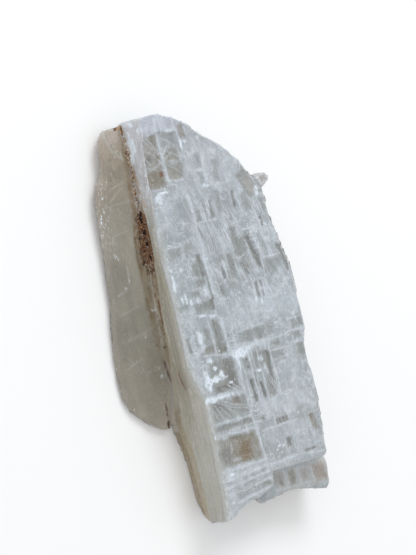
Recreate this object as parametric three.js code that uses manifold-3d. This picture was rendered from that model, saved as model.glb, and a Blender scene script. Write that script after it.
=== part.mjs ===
// A natural selenite blade, lying on its broad back face.
//
// One thick main blade of cleavage sheets, with a thinner side blade grown onto its left flank and a small
// bud on its right edge. The three crystals are grown together, so they are one solid.
// X runs across the blade, Y along it, Z up from the back face. Millimetres.
import * as THREE from "three";
import { mergeVertices } from "three/addons/utils/BufferGeometryUtils.js";
import Module from "manifold-3d";

const wasm = await Module();
wasm.setup();

// Driving dimensions
const THICKNESS = 27; // back face to front face
const BACK_SHEET_TOP = 10; // where the back sheet parts from the middle one
const LEDGE_TOP = 20; // the ledge that the broken front sheet leaves bare at the foot
const SHEET_OVERLAP = 0.5; // neighbouring sheets run this far into each other
const SHEET_JOG = 1.9; // how far a deeper sheet's broken right edge steps in or out
const HEAD_JOG = 0.9; // the same at the head
const HEAD_SETBACK = 1.2; // deeper sheets end this far short of the front sheet at the head
const LEDGE_UNDERCUT = 5; // the ledge's broken foot slopes back under it by this much
const LEAN_TO = 0.2; // the front sheet's left side leans out to this x where its edge stands further in
const LEAN_FROM = -26; // y below which it leans
const PANEL_DEPTH = 0.8; // the flake missing from the front face near the top
const WING_RIM_THICKNESS = 2.2; // the side blade thins to this at its outer rim
const WING_STEP = 0.6; // the side blade's face stands this far above the stained strip
const WING_ROOT_DROP = 1.8; // the crack's floor lies this far below the side blade's face
const STRIP_END = -20; // y where the stained strip runs out
const STRIP_HEAD = 100.5; // y of its head
const SEAM_WIDTH = 1.3; // the open crack between the main blade and the side blade
const SEAM_DEPTH = 1.5;
const SEAM_MOUTH = 3; // how far the crack's cutter reaches out of the flank
const BUD_LENGTH = 11;
const BUD_RADIUS = 3.3;
const BUD_SIDES = 7;
const BUD_TAPER = 0.68; // tip radius over root radius
const BUD_FLATNESS = 0.85; // height over width
const BUD_TURN = -78; // degrees about the vertical, from along the blade
const BUD_AT = [67.2, 59.4, 21.5]; // the middle of its length
const BELOW = 8; // cutters reach this far below the ground
const CUTTER_WIDTH = 60;

// Outline of the front sheet, anticlockwise from the foot's left corner: foot, right edge, head, left edge
const FRONT_FOOT = [
  [-2.2, -96.4], [0.6, -96.2], [3.4, -95.3], [5.9, -93], [11.5, -91.1], [26.6, -86.4], [29, -84.4],
  [29.6, -78.6], [61.4, -77.9],
];
const FRONT_RIGHT = [
  [62.7, -76.6], [65.2, -63], [66.5, -51.4], [67.2, -39.3], [66, -33.3], [66.6, -24.3], [69.8, -13],
  [70.2, -1], [70.3, 17], [68.4, 26.2], [66.6, 35.9], [65.5, 42], [65.8, 50.9], [65, 56.3],
];
const FRONT_HEAD = [
  [62.3, 62.1], [60, 64.2], [56.2, 71.2], [48.9, 78.9], [39.5, 86.9], [34.7, 91], [31.6, 94.6],
  [24.7, 99.2], [15.7, 102.8], [6.1, 102.4],
];
const FRONT_LEFT = [
  [5, 92], [3.8, 80], [1, 55.4], [-0.8, 33], [-0.5, 10], [-1.5, -12.7], [-1.9, -21], [-1.2, -27],
  [0.8, -32.5], [2.4, -38], [2.8, -44], [2.1, -60], [0, -81.6],
];

// Foot of the middle sheet, which reaches past the front sheet, and the foot of the back sheet
const LEDGE_FOOT = [
  [-1.6, -96.4], [4, -93.5], [12, -88.5], [21, -87.5], [21.9, -92], [24.1, -93.4], [27.3, -93], [35.4, -91.9],
  [42.8, -90.9], [53, -92.6], [62.6, -94.7], [65, -92.7], [66, -83.4],
];
// The back sheet's foot leans out towards its top: the third number is how far.
const BACK_FOOT = [
  [0, -84.5, 12], [9, -83, 8], [24, -86, 1], [41, -84.5, 1], [56, -87, 1], [66, -85, 0.2],
];
// Height, and how much of that lean is reached there
const BACK_FOOT_LEVELS = [
  [0, 0], [2.6, 0.54], [6, 0.86], [10.5, 1],
];

// The flank under the front sheet's left edge, from head to foot: x of the main blade's side, by y
const FLANK = [
  [4.3, 101], [4.2, 86], [1, 57], [0, 33], [-0.6, 8], [-0.8, -30], [-0.8, -80],
];

// The back sheet's flank, which swells out under the side blade's foot
const BACK_FLANK = [
  [5.1, 100.4], [5, 85.4], [1.8, 56.4], [0.8, 32.4], [0.2, 7.4], [-1, -30], [-3.2, -45], [-3, -48],
  [-1.9, -54], [-0.8, -60], [0, -66], [0, -79],
];

// The side blade's outline, from its head round its outer rim to its foot
const WING_RIM = [
  [8, 101.2], [-1.3, 101], [-5, 98], [-7.5, 93.8], [-7.9, 85], [-9.9, 79.5], [-13.8, 74.3], [-16.2, 67.4],
  [-17.2, 57], [-18, 44], [-19.4, 30.7], [-20.9, 19], [-23.8, 6.7], [-26, -6.7], [-27.1, -18.5],
  [-27, -27.6], [-24, -34.3], [-16.3, -41.7], [-8.9, -46.4], [-6.4, -46.8], [-5, -44.6], [8, -40],
];

// The broken facet at the side blade's head drops away over a plane through these points
const WING_FACET = [
  [-4, 99.4, 8.2], [2, 84.6, 11.9], [3.7, 101, 10.4],
];

// Stations along the side blade: y, then x and z of its face's inner edge and of its outer rim.
// seam is the height on the main blade's flank where the stained strip ends.
const WING_STATIONS = [
  { y: 104, inner: [4, 12.2], rim: [-1, 8.6], seam: 12.4 },
  { y: 85, inner: [2, 11.2], rim: [-8, 7], seam: 14.9 },
  { y: 66, inner: [0, 11], rim: [-16.3, 6], seam: 16.6 },
  { y: 57, inner: [-1.4, 11], rim: [-17.2, 5.5], seam: 17.8 },
  { y: 40, inner: [-4, 9.9], rim: [-18.4, 5], seam: 18 },
  { y: 20, inner: [-4, 8.3], rim: [-20.8, 4], seam: 14.3 },
  { y: 2, inner: [-4, 6.6], rim: [-24.5, 3.4], seam: 12.2 },
  { y: -11, inner: [-1.8, 6], rim: [-26.4, 3.1], seam: 10 },
  { y: -20, inner: [-1.2, 5.8], rim: [-27.1, 3], seam: 7 },
  { y: -34, inner: [-2, 5.3], rim: [-27, 3], seam: 5.6 },
  { y: -50, inner: [-5.2, 3.6], rim: [-28, 3], seam: 3.8 },
];
const WING_REACH = -34; // x past the rim, where the side blade's face is still ruled
const STRIP_ROOT = 9; // x inside the main blade, where the side blade and the strip are rooted

// The flake missing from the front face
const PANEL = [
  [9, 94.8], [3.7, 87.4], [2.9, 67], [11.3, 65.2], [12.7, 69.9], [23.2, 69.1], [25.8, 91.1],
];

// Chips out of the broken edges: place along the blade, size, and turn about the vertical in degrees
const CHIPS = [
  { at: [72.5, 47, 12], size: [8, 17, 11], turn: 12 },
  { at: [73.5, 8, 6], size: [8, 30, 14], turn: -7 },
  { at: [72, -30, 24], size: [8.4, 11, 9], turn: 20 },
  { at: [71.5, -46, 9], size: [9, 20, 10], turn: 5 },
  { at: [70.6, -74, 3], size: [8, 16, 12], turn: -10 },
  { at: [47, 88, 6], size: [16, 8, 15], turn: -42 },
  { at: [60, 76, 20], size: [12, 6, 9], turn: -52 },
  { at: [22, 105, 4], size: [24, 7, 13], turn: -16 },
];

// Shapes

// A closed surface through rings of equally many points, with flat ends cut into triangles by ends.
function loft(rings, ends) {
  const count = rings[0].length;
  const index = [];
  for (let k = 0; k + 1 < rings.length; k++)
    for (let i = 0; i < count; i++) {
      const [a, b] = [k * count + i, k * count + ((i + 1) % count)];
      index.push(a, b, b + count, a, b + count, a + count);
    }
  const last = (rings.length - 1) * count;
  for (const [a, b, c] of ends) index.push(a, c, b, last + a, last + b, last + c);
  return new THREE.BufferGeometry().setFromPoints(rings.flat()).setIndex(index);
}

// A sheet of the main blade through outlines with matching points, one at each height.
function sheet(outlines, heights) {
  const top = outlines.at(-1).map(([x, y]) => new THREE.Vector2(x, y));
  const ends = THREE.ShapeUtils.triangulateShape(top, []);
  const rings = outlines.map((points, k) => points.map(([x, y]) => new THREE.Vector3(x, y, heights[k])));
  return loft(rings, ends);
}

// A bar along Y whose four-cornered section is given at each station, corners clockwise seen from the foot.
function bar(stations, section) {
  const fromFoot = [...stations].reverse();
  const rings = fromFoot.map((s) => section(s).map(([x, z]) => new THREE.Vector3(x, s.y, z)));
  return loft(rings, [[0, 1, 2], [0, 2, 3]]);
}

function prism(outline, bottom, top) {
  const shape = new THREE.Shape(outline.map(([x, y]) => new THREE.Vector2(x, y)));
  const depth = top - bottom;
  return new THREE.ExtrudeGeometry(shape, { depth, bevelEnabled: false }).translate(0, 0, bottom);
}

function solid(geometry) {
  const bare = geometry.clone();
  bare.deleteAttribute("normal");
  bare.deleteAttribute("uv");
  const merged = mergeVertices(bare);
  const mesh = new wasm.Mesh({
    numProp: 3,
    vertProperties: new Float32Array(merged.attributes.position.array),
    triVerts: new Uint32Array(merged.index.array),
  });
  return new wasm.Manifold(mesh);
}

function geometryOf(manifold) {
  const { vertProperties, triVerts } = manifold.getMesh();
  const geometry = new THREE.BufferGeometry();
  geometry.setAttribute("position", new THREE.BufferAttribute(vertProperties, 3));
  geometry.setIndex(new THREE.BufferAttribute(triVerts, 1));
  return geometry;
}

// Main blade: three cleavage sheets, broken back by different amounts on the right and at the ends

// A repeatable number from -1 to 1 for a point of a deeper sheet.
function jog(point, level) {
  const [pointStep, levelStep] = [12.99, 2.1];
  return Math.sin(point * pointStep + level * levelStep);
}

function brokenRight(level) {
  return FRONT_RIGHT.map(([x, y], i) => [x + SHEET_JOG * jog(i, level), y]);
}

function brokenHead(level) {
  return FRONT_HEAD.map(([x, y], i) => [x, y - HEAD_SETBACK + HEAD_JOG * jog(i, level)]);
}

function mainBlade() {
  const front = [...FRONT_FOOT, ...FRONT_RIGHT, ...FRONT_HEAD, ...FRONT_LEFT];
  const flankAtLedge = FRONT_LEFT.map(([x, y]) => [y < LEAN_FROM ? Math.min(x, LEAN_TO) : x, y]);
  const frontBack = [...FRONT_FOOT, ...FRONT_RIGHT, ...FRONT_HEAD, ...flankAtLedge];
  const frontSheet = solid(sheet([frontBack, front], [LEDGE_TOP - SHEET_OVERLAP, THICKNESS]));

  const broken = (level) => [...brokenRight(level), ...brokenHead(level)];
  const [corner, ...ledge] = LEDGE_FOOT;
  const underLedge = [corner, ...ledge.map(([x, y]) => [x, y + LEDGE_UNDERCUT])];
  const middleOutlines = [[...underLedge, ...broken(2), ...FLANK], [...LEDGE_FOOT, ...broken(1), ...FLANK]];
  const middleSheet = solid(sheet(middleOutlines, [BACK_SHEET_TOP, LEDGE_TOP]));

  const leaning = (share) => BACK_FOOT.map(([x, y, reach]) => [x, y - share * reach]);
  const backOutline = (share) => [...leaning(share), ...broken(3 + share), ...BACK_FLANK];
  const backOutlines = BACK_FOOT_LEVELS.map(([, share]) => backOutline(share));
  const backSheet = solid(sheet(backOutlines, BACK_FOOT_LEVELS.map(([height]) => height)));

  return frontSheet.add(middleSheet).add(backSheet);
}

// Side blade: an outline cut out of a bar with a slightly twisted face, and the stained strip in the corner

function sideBlade() {
  const run = (s) => (s.inner[0] - WING_REACH) / (s.inner[0] - s.rim[0]);
  const face = (s) => s.inner[1] + WING_STEP;
  const faceAtReach = (s) => face(s) - (face(s) - s.rim[1]) * run(s);
  const underAtReach = (s) => (s.rim[1] - WING_RIM_THICKNESS) * run(s);
  const twisted = bar(WING_STATIONS, (s) => [
    [WING_REACH, -BELOW],
    [WING_REACH, Math.max(faceAtReach(s), WING_RIM_THICKNESS - BELOW)],
    [s.inner[0], face(s)],
    [s.inner[0], -BELOW],
  ]);
  const under = bar(WING_STATIONS, (s) => [
    [WING_REACH, -BELOW],
    [WING_REACH, underAtReach(s)],
    [s.inner[0], 0],
    [s.inner[0], -BELOW],
  ]);
  const root = bar(WING_STATIONS, (s) => [
    [s.inner[0] - WING_STEP, 0],
    [s.inner[0] - WING_STEP, face(s) - WING_ROOT_DROP],
    [STRIP_ROOT, face(s) - WING_ROOT_DROP],
    [STRIP_ROOT, 0],
  ]);
  const outline = solid(prism([...WING_RIM].reverse(), 0, THICKNESS));
  const blade = solid(twisted).subtract(solid(under)).subtract(above(WING_FACET));
  return blade.add(solid(root)).intersect(outline);
}

// A block that takes away what lies above the plane through three points.
function above(points) {
  const [a, b, c] = points.map((p) => new THREE.Vector3(...p));
  const normal = new THREE.Vector3().crossVectors(b.clone().sub(a), c.clone().sub(a)).normalize();
  const block = new THREE.BoxGeometry(CUTTER_WIDTH, CUTTER_WIDTH, THICKNESS).translate(0, 0, THICKNESS / 2);
  block.applyQuaternion(new THREE.Quaternion().setFromUnitVectors(new THREE.Vector3(0, 0, 1), normal));
  return solid(block.translate(...points[0]));
}

// The stations that the strip and its crack run along.
function stripStations() {
  return WING_STATIONS.filter((s) => s.y >= STRIP_END).map((s) => ({ ...s, y: Math.min(s.y, STRIP_HEAD) }));
}

function stainedStrip() {
  const rise = 1.4; // its face goes on rising inside the main blade
  return solid(
    bar(stripStations(), (s) => [
      [s.inner[0] - WING_STEP, 0],
      [s.inner[0] - WING_STEP, s.inner[1]],
      [STRIP_ROOT, s.inner[1] + (s.seam - s.inner[1]) * rise],
      [STRIP_ROOT, 0],
    ]),
  );
}

// The open crack runs down the flank where the strip meets the main blade.
function seamCrack() {
  const flankX = (y) => {
    const after = Math.max(1, FLANK.findIndex((p) => p[1] <= y));
    const [[x0, y0], [x1, y1]] = [FLANK[after - 1], FLANK[after]];
    return THREE.MathUtils.mapLinear(THREE.MathUtils.clamp(y, y1, y0), y0, y1, x0, x1);
  };
  const half = SEAM_WIDTH / 2;
  return solid(
    bar(stripStations(), (s) => {
      const x = flankX(s.y);
      return [
        [x - SEAM_MOUTH, s.seam + half],
        [x - SEAM_MOUTH, s.seam + 2 * SEAM_WIDTH],
        [x, s.seam + half],
        [x + SEAM_DEPTH, s.seam - half],
      ];
    }),
  );
}

// Bud: a small stub crystal on the right edge near the head
function bud() {
  const stub = new THREE.CylinderGeometry(BUD_RADIUS * BUD_TAPER, BUD_RADIUS, BUD_LENGTH, BUD_SIDES);
  stub.scale(1, 1, BUD_FLATNESS).rotateZ(THREE.MathUtils.degToRad(BUD_TURN)).translate(...BUD_AT);
  return solid(stub);
}

function chip({ at, size, turn }) {
  const block = new THREE.BoxGeometry(...size);
  return solid(block.rotateZ(THREE.MathUtils.degToRad(turn)).translate(...at));
}

// The whole specimen
let specimen = mainBlade().add(stainedStrip()).add(sideBlade());
specimen = specimen.subtract(seamCrack());
const flake = prism([...PANEL].reverse(), THICKNESS - PANEL_DEPTH, THICKNESS + PANEL_DEPTH);
specimen = specimen.subtract(solid(flake));
for (const place of CHIPS) specimen = specimen.subtract(chip(place));
specimen = specimen.add(bud());

const selenite = new THREE.MeshStandardMaterial({ color: 0xb4b9ba, roughness: 0.3, metalness: 0 });
const blade = new THREE.Mesh(geometryOf(specimen), selenite);
blade.name = "selenite_blade";

// The origin is under the middle of the specimen, on the face that it rests on.
const bounds = new THREE.Box3().setFromObject(blade);
const middle = bounds.getCenter(new THREE.Vector3());
blade.position.set(-middle.x, -middle.y, -bounds.min.z);

const specimenGroup = new THREE.Group();
specimenGroup.add(blade);

export default specimenGroup;
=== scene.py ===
# %% [markdown]
# # A selenite blade on a pale table
# Selenite is clear gypsum that splits into sheets. This specimen is one thick blade, cloudy inside, with
# a thinner blade grown onto its left flank and rust in the seam between them. The solid model gives its
# size and main faces. This lesson adds what makes it look like a mineral: broken relief, a clear skin,
# milky veils with clear windows under it, and grains of rust.

# %% Load the solid model
import math

import bmesh
import bpy
import numpy as np
from mathutils import Matrix, Vector
from mathutils.bvhtree import BVHTree


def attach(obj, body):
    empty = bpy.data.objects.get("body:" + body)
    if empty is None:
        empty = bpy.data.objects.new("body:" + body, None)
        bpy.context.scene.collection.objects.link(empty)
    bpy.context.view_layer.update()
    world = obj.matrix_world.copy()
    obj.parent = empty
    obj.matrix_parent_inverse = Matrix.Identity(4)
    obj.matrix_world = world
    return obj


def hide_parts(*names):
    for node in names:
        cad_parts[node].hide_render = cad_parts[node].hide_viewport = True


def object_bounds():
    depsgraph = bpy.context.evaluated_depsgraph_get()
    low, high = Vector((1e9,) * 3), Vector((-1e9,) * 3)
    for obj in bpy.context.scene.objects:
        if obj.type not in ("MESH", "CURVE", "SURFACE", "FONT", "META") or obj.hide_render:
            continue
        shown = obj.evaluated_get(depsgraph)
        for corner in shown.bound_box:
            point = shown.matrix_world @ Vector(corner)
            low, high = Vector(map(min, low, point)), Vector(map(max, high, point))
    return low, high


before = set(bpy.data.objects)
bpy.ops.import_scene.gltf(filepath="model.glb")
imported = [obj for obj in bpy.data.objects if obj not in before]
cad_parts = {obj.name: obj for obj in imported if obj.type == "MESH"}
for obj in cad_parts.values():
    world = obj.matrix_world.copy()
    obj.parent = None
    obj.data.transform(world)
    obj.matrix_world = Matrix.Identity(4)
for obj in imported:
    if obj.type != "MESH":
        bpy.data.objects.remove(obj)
cad_low, cad_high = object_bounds()
print("solid, mm:", [round(1000 * side, 1) for side in cad_high - cad_low])

# %% [markdown]
# ## Measuring in the blade's own millimetres
# Every place below is given in millimetres from one corner of the blade: x across it from the left flank,
# y along it from the middle towards the head, z up from the back face. The corner is found from the
# solid's box, so nothing has to be fitted by eye.

# %% Blade millimetres to scene metres
MM = 0.001
SIDE_RIM_X = -27.1
HEAD_Y = 102.8
THICKNESS = 27.0
blade_zero = np.array((cad_low.x - SIDE_RIM_X * MM, cad_high.y - HEAD_Y * MM, cad_low.z))


def to_blade(points):
    return (np.asarray(points) - blade_zero) / MM


def to_scene(points):
    return np.asarray(points) * MM + blade_zero


print("blade zero, m:", blade_zero.round(4))

# %% [markdown]
# ## The camera
# The photograph looks down on the front face from the left, about 33 degrees off its normal, and the
# blade leans 14.5 degrees in the picture. A long lens from far away keeps the crystal's edges parallel,
# as they are there. The camera's three axes are written out from those two angles.

# %% Camera
VIEW_TILT = math.radians(33)
VIEW_ROLL = math.radians(14.5)
VIEW_HEIGHT = 269.2
VIEW_DISTANCE = 2400.0
VIEW_CENTRE = (32.9, 19.6)
VIEW_END = 20
SENSOR = 36.0

across = Vector((math.cos(VIEW_TILT), 0, math.sin(VIEW_TILT)))
along = Vector((0, 1, 0))
towards = Vector((-math.sin(VIEW_TILT), 0, math.cos(VIEW_TILT)))
camera_right = across * math.cos(VIEW_ROLL) - along * math.sin(VIEW_ROLL)
camera_up = across * math.sin(VIEW_ROLL) + along * math.cos(VIEW_ROLL)
aim = across * VIEW_CENTRE[0] + along * VIEW_CENTRE[1]

scene = bpy.context.scene
camera = bpy.data.objects.new("camera", bpy.data.cameras.new("camera"))
scene.collection.objects.link(camera)
turn = Matrix((camera_right, camera_up, towards)).transposed().to_4x4()
spot = Vector(to_scene(aim + towards * VIEW_DISTANCE))
camera.matrix_world = Matrix.Translation(spot) @ turn
camera.data.sensor_width = SENSOR
camera.data.lens = SENSOR * VIEW_DISTANCE / VIEW_HEIGHT
camera.data.clip_end = VIEW_END
scene.camera = camera
print("lens, mm:", round(camera.data.lens))

# %% [markdown]
# ## Table and light
# A plain pale table, a pale sky all round, and one large soft lamp beyond the head of the blade. The sky
# does most of the work, as on an overcast day, and the lamp gives the broken faces their glints. It
# stands away from where the flat front would mirror it, or the whole front would be glare. The helper
# that makes the table's material makes the others too.

# %% Table and lamp
scene.view_settings.view_transform = "Standard"
TABLE_SIZE = 6.0
TABLE_DROP = 0.0003
TABLE_WHITE = (0.95, 0.95, 0.95, 1)
SKY_COLOUR = (0.99, 0.995, 1.0, 1)
SKY_STRENGTH = 0.82
LAMP_PLACE = (0.45, 1.15, 1.25)
LAMP_SIZE = 0.9
LAMP_WATTS = 11.0
LAMP_COLOUR = (0.95, 0.98, 1.0)


def new_material(name, values):
    """A material, its nodes and its shader, with these values on the shader's own sockets."""
    material = bpy.data.materials.new(name)
    material.use_nodes = True
    shader = material.node_tree.nodes["Principled BSDF"]
    for socket, value in values.items():
        shader.inputs[socket].default_value = value
    return material, material.node_tree, shader


def soft_lamp():
    """A round lamp looking at the middle of the scene, itself out of the picture."""
    lamp = bpy.data.objects.new("window light", bpy.data.lights.new("window light", "AREA"))
    scene.collection.objects.link(lamp)
    lamp.data.shape = "DISK"
    lamp.data.size = LAMP_SIZE
    lamp.data.energy = LAMP_WATTS
    lamp.data.color = LAMP_COLOUR
    lamp.location = LAMP_PLACE
    lamp.rotation_euler = (-Vector(LAMP_PLACE)).to_track_quat("-Z", "Y").to_euler()
    lamp.visible_camera = False


def pale_table():
    half = TABLE_SIZE / 2
    mesh = bpy.data.meshes.new("table")
    corners = [(-half, -half, 0), (half, -half, 0), (half, half, 0), (-half, half, 0)]
    mesh.from_pydata(corners, [], [(0, 1, 2, 3)])
    table = bpy.data.objects.new("table", mesh)
    table.location.z = -TABLE_DROP
    scene.collection.objects.link(table)
    matte = {"Base Color": TABLE_WHITE, "Roughness": 1.0, "Specular IOR Level": 0.0}
    paint, _, _ = new_material("pale table", matte)
    mesh.materials.append(paint)


def pale_sky():
    world = bpy.data.worlds.new("pale room")
    world.use_nodes = True
    sky = world.node_tree.nodes["Background"].inputs
    sky["Color"].default_value = SKY_COLOUR
    sky["Strength"].default_value = SKY_STRENGTH
    scene.world = world


pale_table()
soft_lamp()
pale_sky()
print("table and", len(bpy.data.lights), "lamp")

# %% [markdown]
# ## Grain
# Crystals are streaky rather than random: their steps and fibres run along the blade. A lattice of
# repeatable numbers, smoothed between its places and stretched more along the blade than across it, gives
# every streak below. It always gives the same streaks, because it uses no random draw.

# %% Streaky noise
LATTICE_STEPS = (73856093, 19349663, 83492791)
LATTICE_SEED = 2654435761
LATTICE_MIX = 1274126177
LATTICE_TOP = 65535
RISER = (0.7, 1.0)


def lattice(cells, seed):
    """A repeatable number from -1 to 1 at each whole-number place."""
    mixed = np.full(cells.shape[:-1], seed * LATTICE_SEED, dtype=np.int64)
    for axis, step in enumerate(LATTICE_STEPS):
        mixed = mixed ^ (cells[..., axis] * step)
    mixed = (mixed ^ (mixed >> 13)) * LATTICE_MIX
    return ((mixed ^ (mixed >> 16)) & LATTICE_TOP) / (LATTICE_TOP / 2) - 1


def grain(points, lump, seed):
    """Smooth noise from -1 to 1, in lumps of this size in mm along x, y and z."""
    scaled = points / np.array(lump, dtype=float)
    cell = np.floor(scaled).astype(np.int64)
    part = scaled - cell
    part = part * part * (3 - 2 * part)
    total = np.zeros(len(points))
    for corner in np.ndindex(2, 2, 2):
        share = np.prod(np.where(corner, part, 1 - part), axis=1)
        total += share * lattice(cell + np.array(corner), seed)
    return total


def ramp(start, stop, value):
    """0 before start, 1 after stop, smooth between; start may be the larger."""
    share = np.clip((value - start) / (stop - start), 0, 1)
    return share * share * (3 - 2 * share)


def fade(points, *limits):
    """1 within all limits; each is an axis and where along it, in mm, the share starts and is whole."""
    share = np.ones(len(points))
    for axis, start, stop in limits:
        share = share * ramp(start, stop, points[:, "xyz".index(axis)])
    return share


def stepped(value, steps):
    """Rounds a smooth value to flat treads with short risers."""
    scaled = value * steps
    tread = np.floor(scaled)
    return (tread + ramp(*RISER, scaled - tread)) / steps


def layered(points, *layers):
    """Layers of grain added up: each has a strength, lumps, a seed and, where it is stepped, treads."""
    total = np.zeros(len(points))
    for strength, lump, seed, *treads in layers:
        noise = grain(points, lump, seed)
        total += strength * (stepped(noise, *treads) if treads else noise)
    return total


sample = np.random.default_rng(1).uniform(0, 99, (500, 3))
print("grain spread:", grain(sample, (3, 3, 3), 1).std().round(2))

# %% [markdown]
# ## Which face a point is on
# The broad front, the ledge at the foot, the flank, the side blade and its stained strip break and colour
# differently. Each point gets a share of each face from where it lies and which way it looks. The lines
# that part the faces are the solid model's own. A pair of numbers says where a share starts and where it
# is whole, so that one face fades into the next.

# %% Shares of each face
FLANK_Y = (-80, -30, 8, 33, 57, 86, 101)
FLANK_X = (-0.8, -0.8, -0.6, 0, 1, 4.2, 4.3)
STRIP_Y = (-50, -34, -20, -11, 2, 20, 40, 57, 66, 85, 104)
STRIP_X = (-5.2, -2, -1.2, -1.8, -4, -4, -4, -1.4, 0, 2, 4)
STRIP_Z = (3.6, 5.3, 5.8, 6, 6.6, 8.3, 9.9, 11, 11, 11.2, 12.2)
SEAM_Z = (3.8, 5.6, 7, 10, 12.2, 14.3, 18, 17.8, 16.6, 14.9, 12.4)
RIM_X = (-28, -27, -27.1, -26.4, -24.5, -20.8, -18.4, -17.2, -16.3, -8, -1)
LOOKS_UP = (0.4, 0.7)
LOOKS_LEFT = (0.3, 0.65)
LOOKS_DOWN = (-0.5, -0.8)
SIDE_LEFT_OF_FLANK = (0.2, 1.2)
SIDE_UNDER_SEAM = (-0.5, 0.8)
SIDE_OVER_SEAM = 1
SIDE_Y = (-50, -48)
FRONT_Z = (22, 24)
LEDGE_Z = (16, 18)
LEDGE_TOP_Z = (23, 22)
LEDGE_Y = (-75, -77)
STRIP_INSIDE = (-1.0, 0.4)
STRIP_FOOT_Y = (-26, -19)
BACK_Z = (3, 1)
BUD_LEAN = math.radians(12)
BUD_MIDDLE = np.array((67.2, 59.4, 21.5))
BUD_ALONG = np.array((math.cos(BUD_LEAN), math.sin(BUD_LEAN), 0))
BUD_ASIDE = np.array((-BUD_ALONG[1], BUD_ALONG[0], 0))
BUD_RADIUS = (5, 3.8)
BUD_ROOT = (-5, -0.5)
BUD_TIP = (0.5, 5.5)
HOLLOW_HALF = (1.5, 0.6)
HOLLOW_ROOT = (-1, 0.5)
HOLLOW_TIP = (4.6, 3.4)


def along_strip(y, values):
    return np.interp(y, STRIP_Y, values)


def bud_shares(points, up):
    """Shares of the bud, of its tip and of the small hollow on top of it."""
    from_bud = points - BUD_MIDDLE
    axial = from_bud @ BUD_ALONG
    radial = np.linalg.norm(from_bud - axial[:, None] * BUD_ALONG, axis=1)
    aside = abs(from_bud @ BUD_ASIDE)
    bud = ramp(*BUD_RADIUS, radial) * ramp(*BUD_ROOT, axial)
    hollow = bud * ramp(*HOLLOW_HALF, aside) * ramp(*HOLLOW_ROOT, axial) * ramp(*HOLLOW_TIP, axial) * up
    return {"bud": bud, "bud tip": bud * ramp(*BUD_TIP, axial), "bud hollow": hollow}


def face_shares(points, normals):
    """Each point's share of each face, 0 to 1."""
    x, y, z = points.T
    left_of_flank = np.interp(y, FLANK_Y, FLANK_X) - x
    under_seam = along_strip(y, SEAM_Z) + SIDE_OVER_SEAM - z
    side = ramp(*SIDE_LEFT_OF_FLANK, left_of_flank) * ramp(*SIDE_UNDER_SEAM, under_seam) * ramp(*SIDE_Y, y)
    up = ramp(*LOOKS_UP, normals[:, 2])
    front = up * ramp(*FRONT_Z, z)
    ledge = up * ramp(*LEDGE_Z, z) * ramp(*LEDGE_TOP_Z, z) * ramp(*LEDGE_Y, y)
    flank = ramp(*LOOKS_LEFT, -normals[:, 0]) * (1 - side) * (1 - front)
    strip = side * ramp(*STRIP_INSIDE, x - along_strip(y, STRIP_X)) * ramp(*STRIP_FOOT_Y, y)
    back = ramp(*LOOKS_DOWN, normals[:, 2]) * ramp(*BACK_Z, z)
    broken = np.clip(1 - side - front - ledge - flank - back, 0, 1)
    faces = {"side": side, "front": front, "ledge": ledge, "flank": flank, "strip": strip, "back": back}
    return {**faces, "broken": broken, **bud_shares(points, up)}


print("seam from", min(SEAM_Z), "to", max(SEAM_Z), "mm above the back")

# %% [markdown]
# ## Broken relief
# Cleavage leaves flat treads along the blade with low risers between them, the flank shows the edges of
# the sheets like the pages of a book, and the broken right side and ends are jagged. Each is a height
# along the surface's own normal, worked out from grain stretched the right way. The bud is swollen and
# hollowed a little, because the solid has it as a plain prism.

# %% Relief of each face
FAN = 0.22
FAN_X = (14, 32)
FOOT_BANDS_BELOW = -72.8
FOOT_BANDS_LEFT_OF = 29.5
FOOT_BANDS_ABOVE = 16.0
FOOT_BANDS_RISE = 0.13
END_LOOK_UP = 0.6

# Height in mm, lumps in mm, seed and, where they are stepped, treads
FIBRES = ((0.09, (1.9, 24, 40), 3), (0.05, (1.1, 9, 40), 4))
LONG_TREADS = (0.34, (7, 46, 40), 5, 3)
CROSS_TREADS = (0.26, (16, 5, 40), 6, 2)
PAGES = ((0.22, (40, 70, 1.9), 7, 3), (0.12, (40, 26, 0.9), 8))
CHIPS = ((0.3, (4, 4, 2.4), 9), (1.0, (22, 26, 2.6), 10, 3))
WAX = (0.12, (6, 22, 9), 11)
CRUST = (0.45, (1.8, 2.4, 1.8), 13)
PAGES_Y = (75, 50)
LEDGE_TREADS = 0.5
BUD_SWELL = 1.3
BUD_TAPER = 1.1
BUD_HOLLOW = 0.8


def fanned(points):
    """Places on the front, sheared so that streaks fan out towards the right."""
    turned = points.copy()
    turned[:, 0] += np.maximum(points[:, 1], 0) * FAN * ramp(*FAN_X, points[:, 0])
    return turned


def streak_places(points, normals):
    """Where streaks are looked up: fanned on the front, crosswise at the foot and on the broken ends."""
    x, y, z = points.T
    foot = (y < FOOT_BANDS_BELOW) & (x < FOOT_BANDS_LEFT_OF) & (z > FOOT_BANDS_ABOVE)
    ends = (abs(normals[:, 1]) > abs(normals[:, 0])) & (abs(normals[:, 2]) < END_LOOK_UP)
    crosswise = foot | ends
    turned = fanned(points)
    turned[crosswise, 0] = y[crosswise] - FOOT_BANDS_RISE * x[crosswise]
    turned[crosswise, 1] = x[crosswise]
    return turned


def relief(points, shares):
    """Height in mm along the normal."""
    streak = fanned(points)
    fibres = layered(streak, *FIBRES)
    treads = layered(streak, LONG_TREADS) + layered(points, CROSS_TREADS)
    pages = shares["flank"] * layered(points, *PAGES) * ramp(*PAGES_Y, points[:, 1])
    chips = shares["broken"] * (1 - shares["bud"]) * layered(points, *CHIPS)
    height = shares["front"] * (fibres + treads) + shares["ledge"] * (fibres + LEDGE_TREADS * treads)
    height += pages + chips
    height += BUD_SWELL * shares["bud"] - BUD_TAPER * shares["bud tip"] - BUD_HOLLOW * shares["bud hollow"]
    return height + shares["side"] * layered(points, WAX) + shares["strip"] * layered(points, CRUST)


print("relief of the broken faces, mm:", sum(height for height, *_ in CHIPS))

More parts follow.
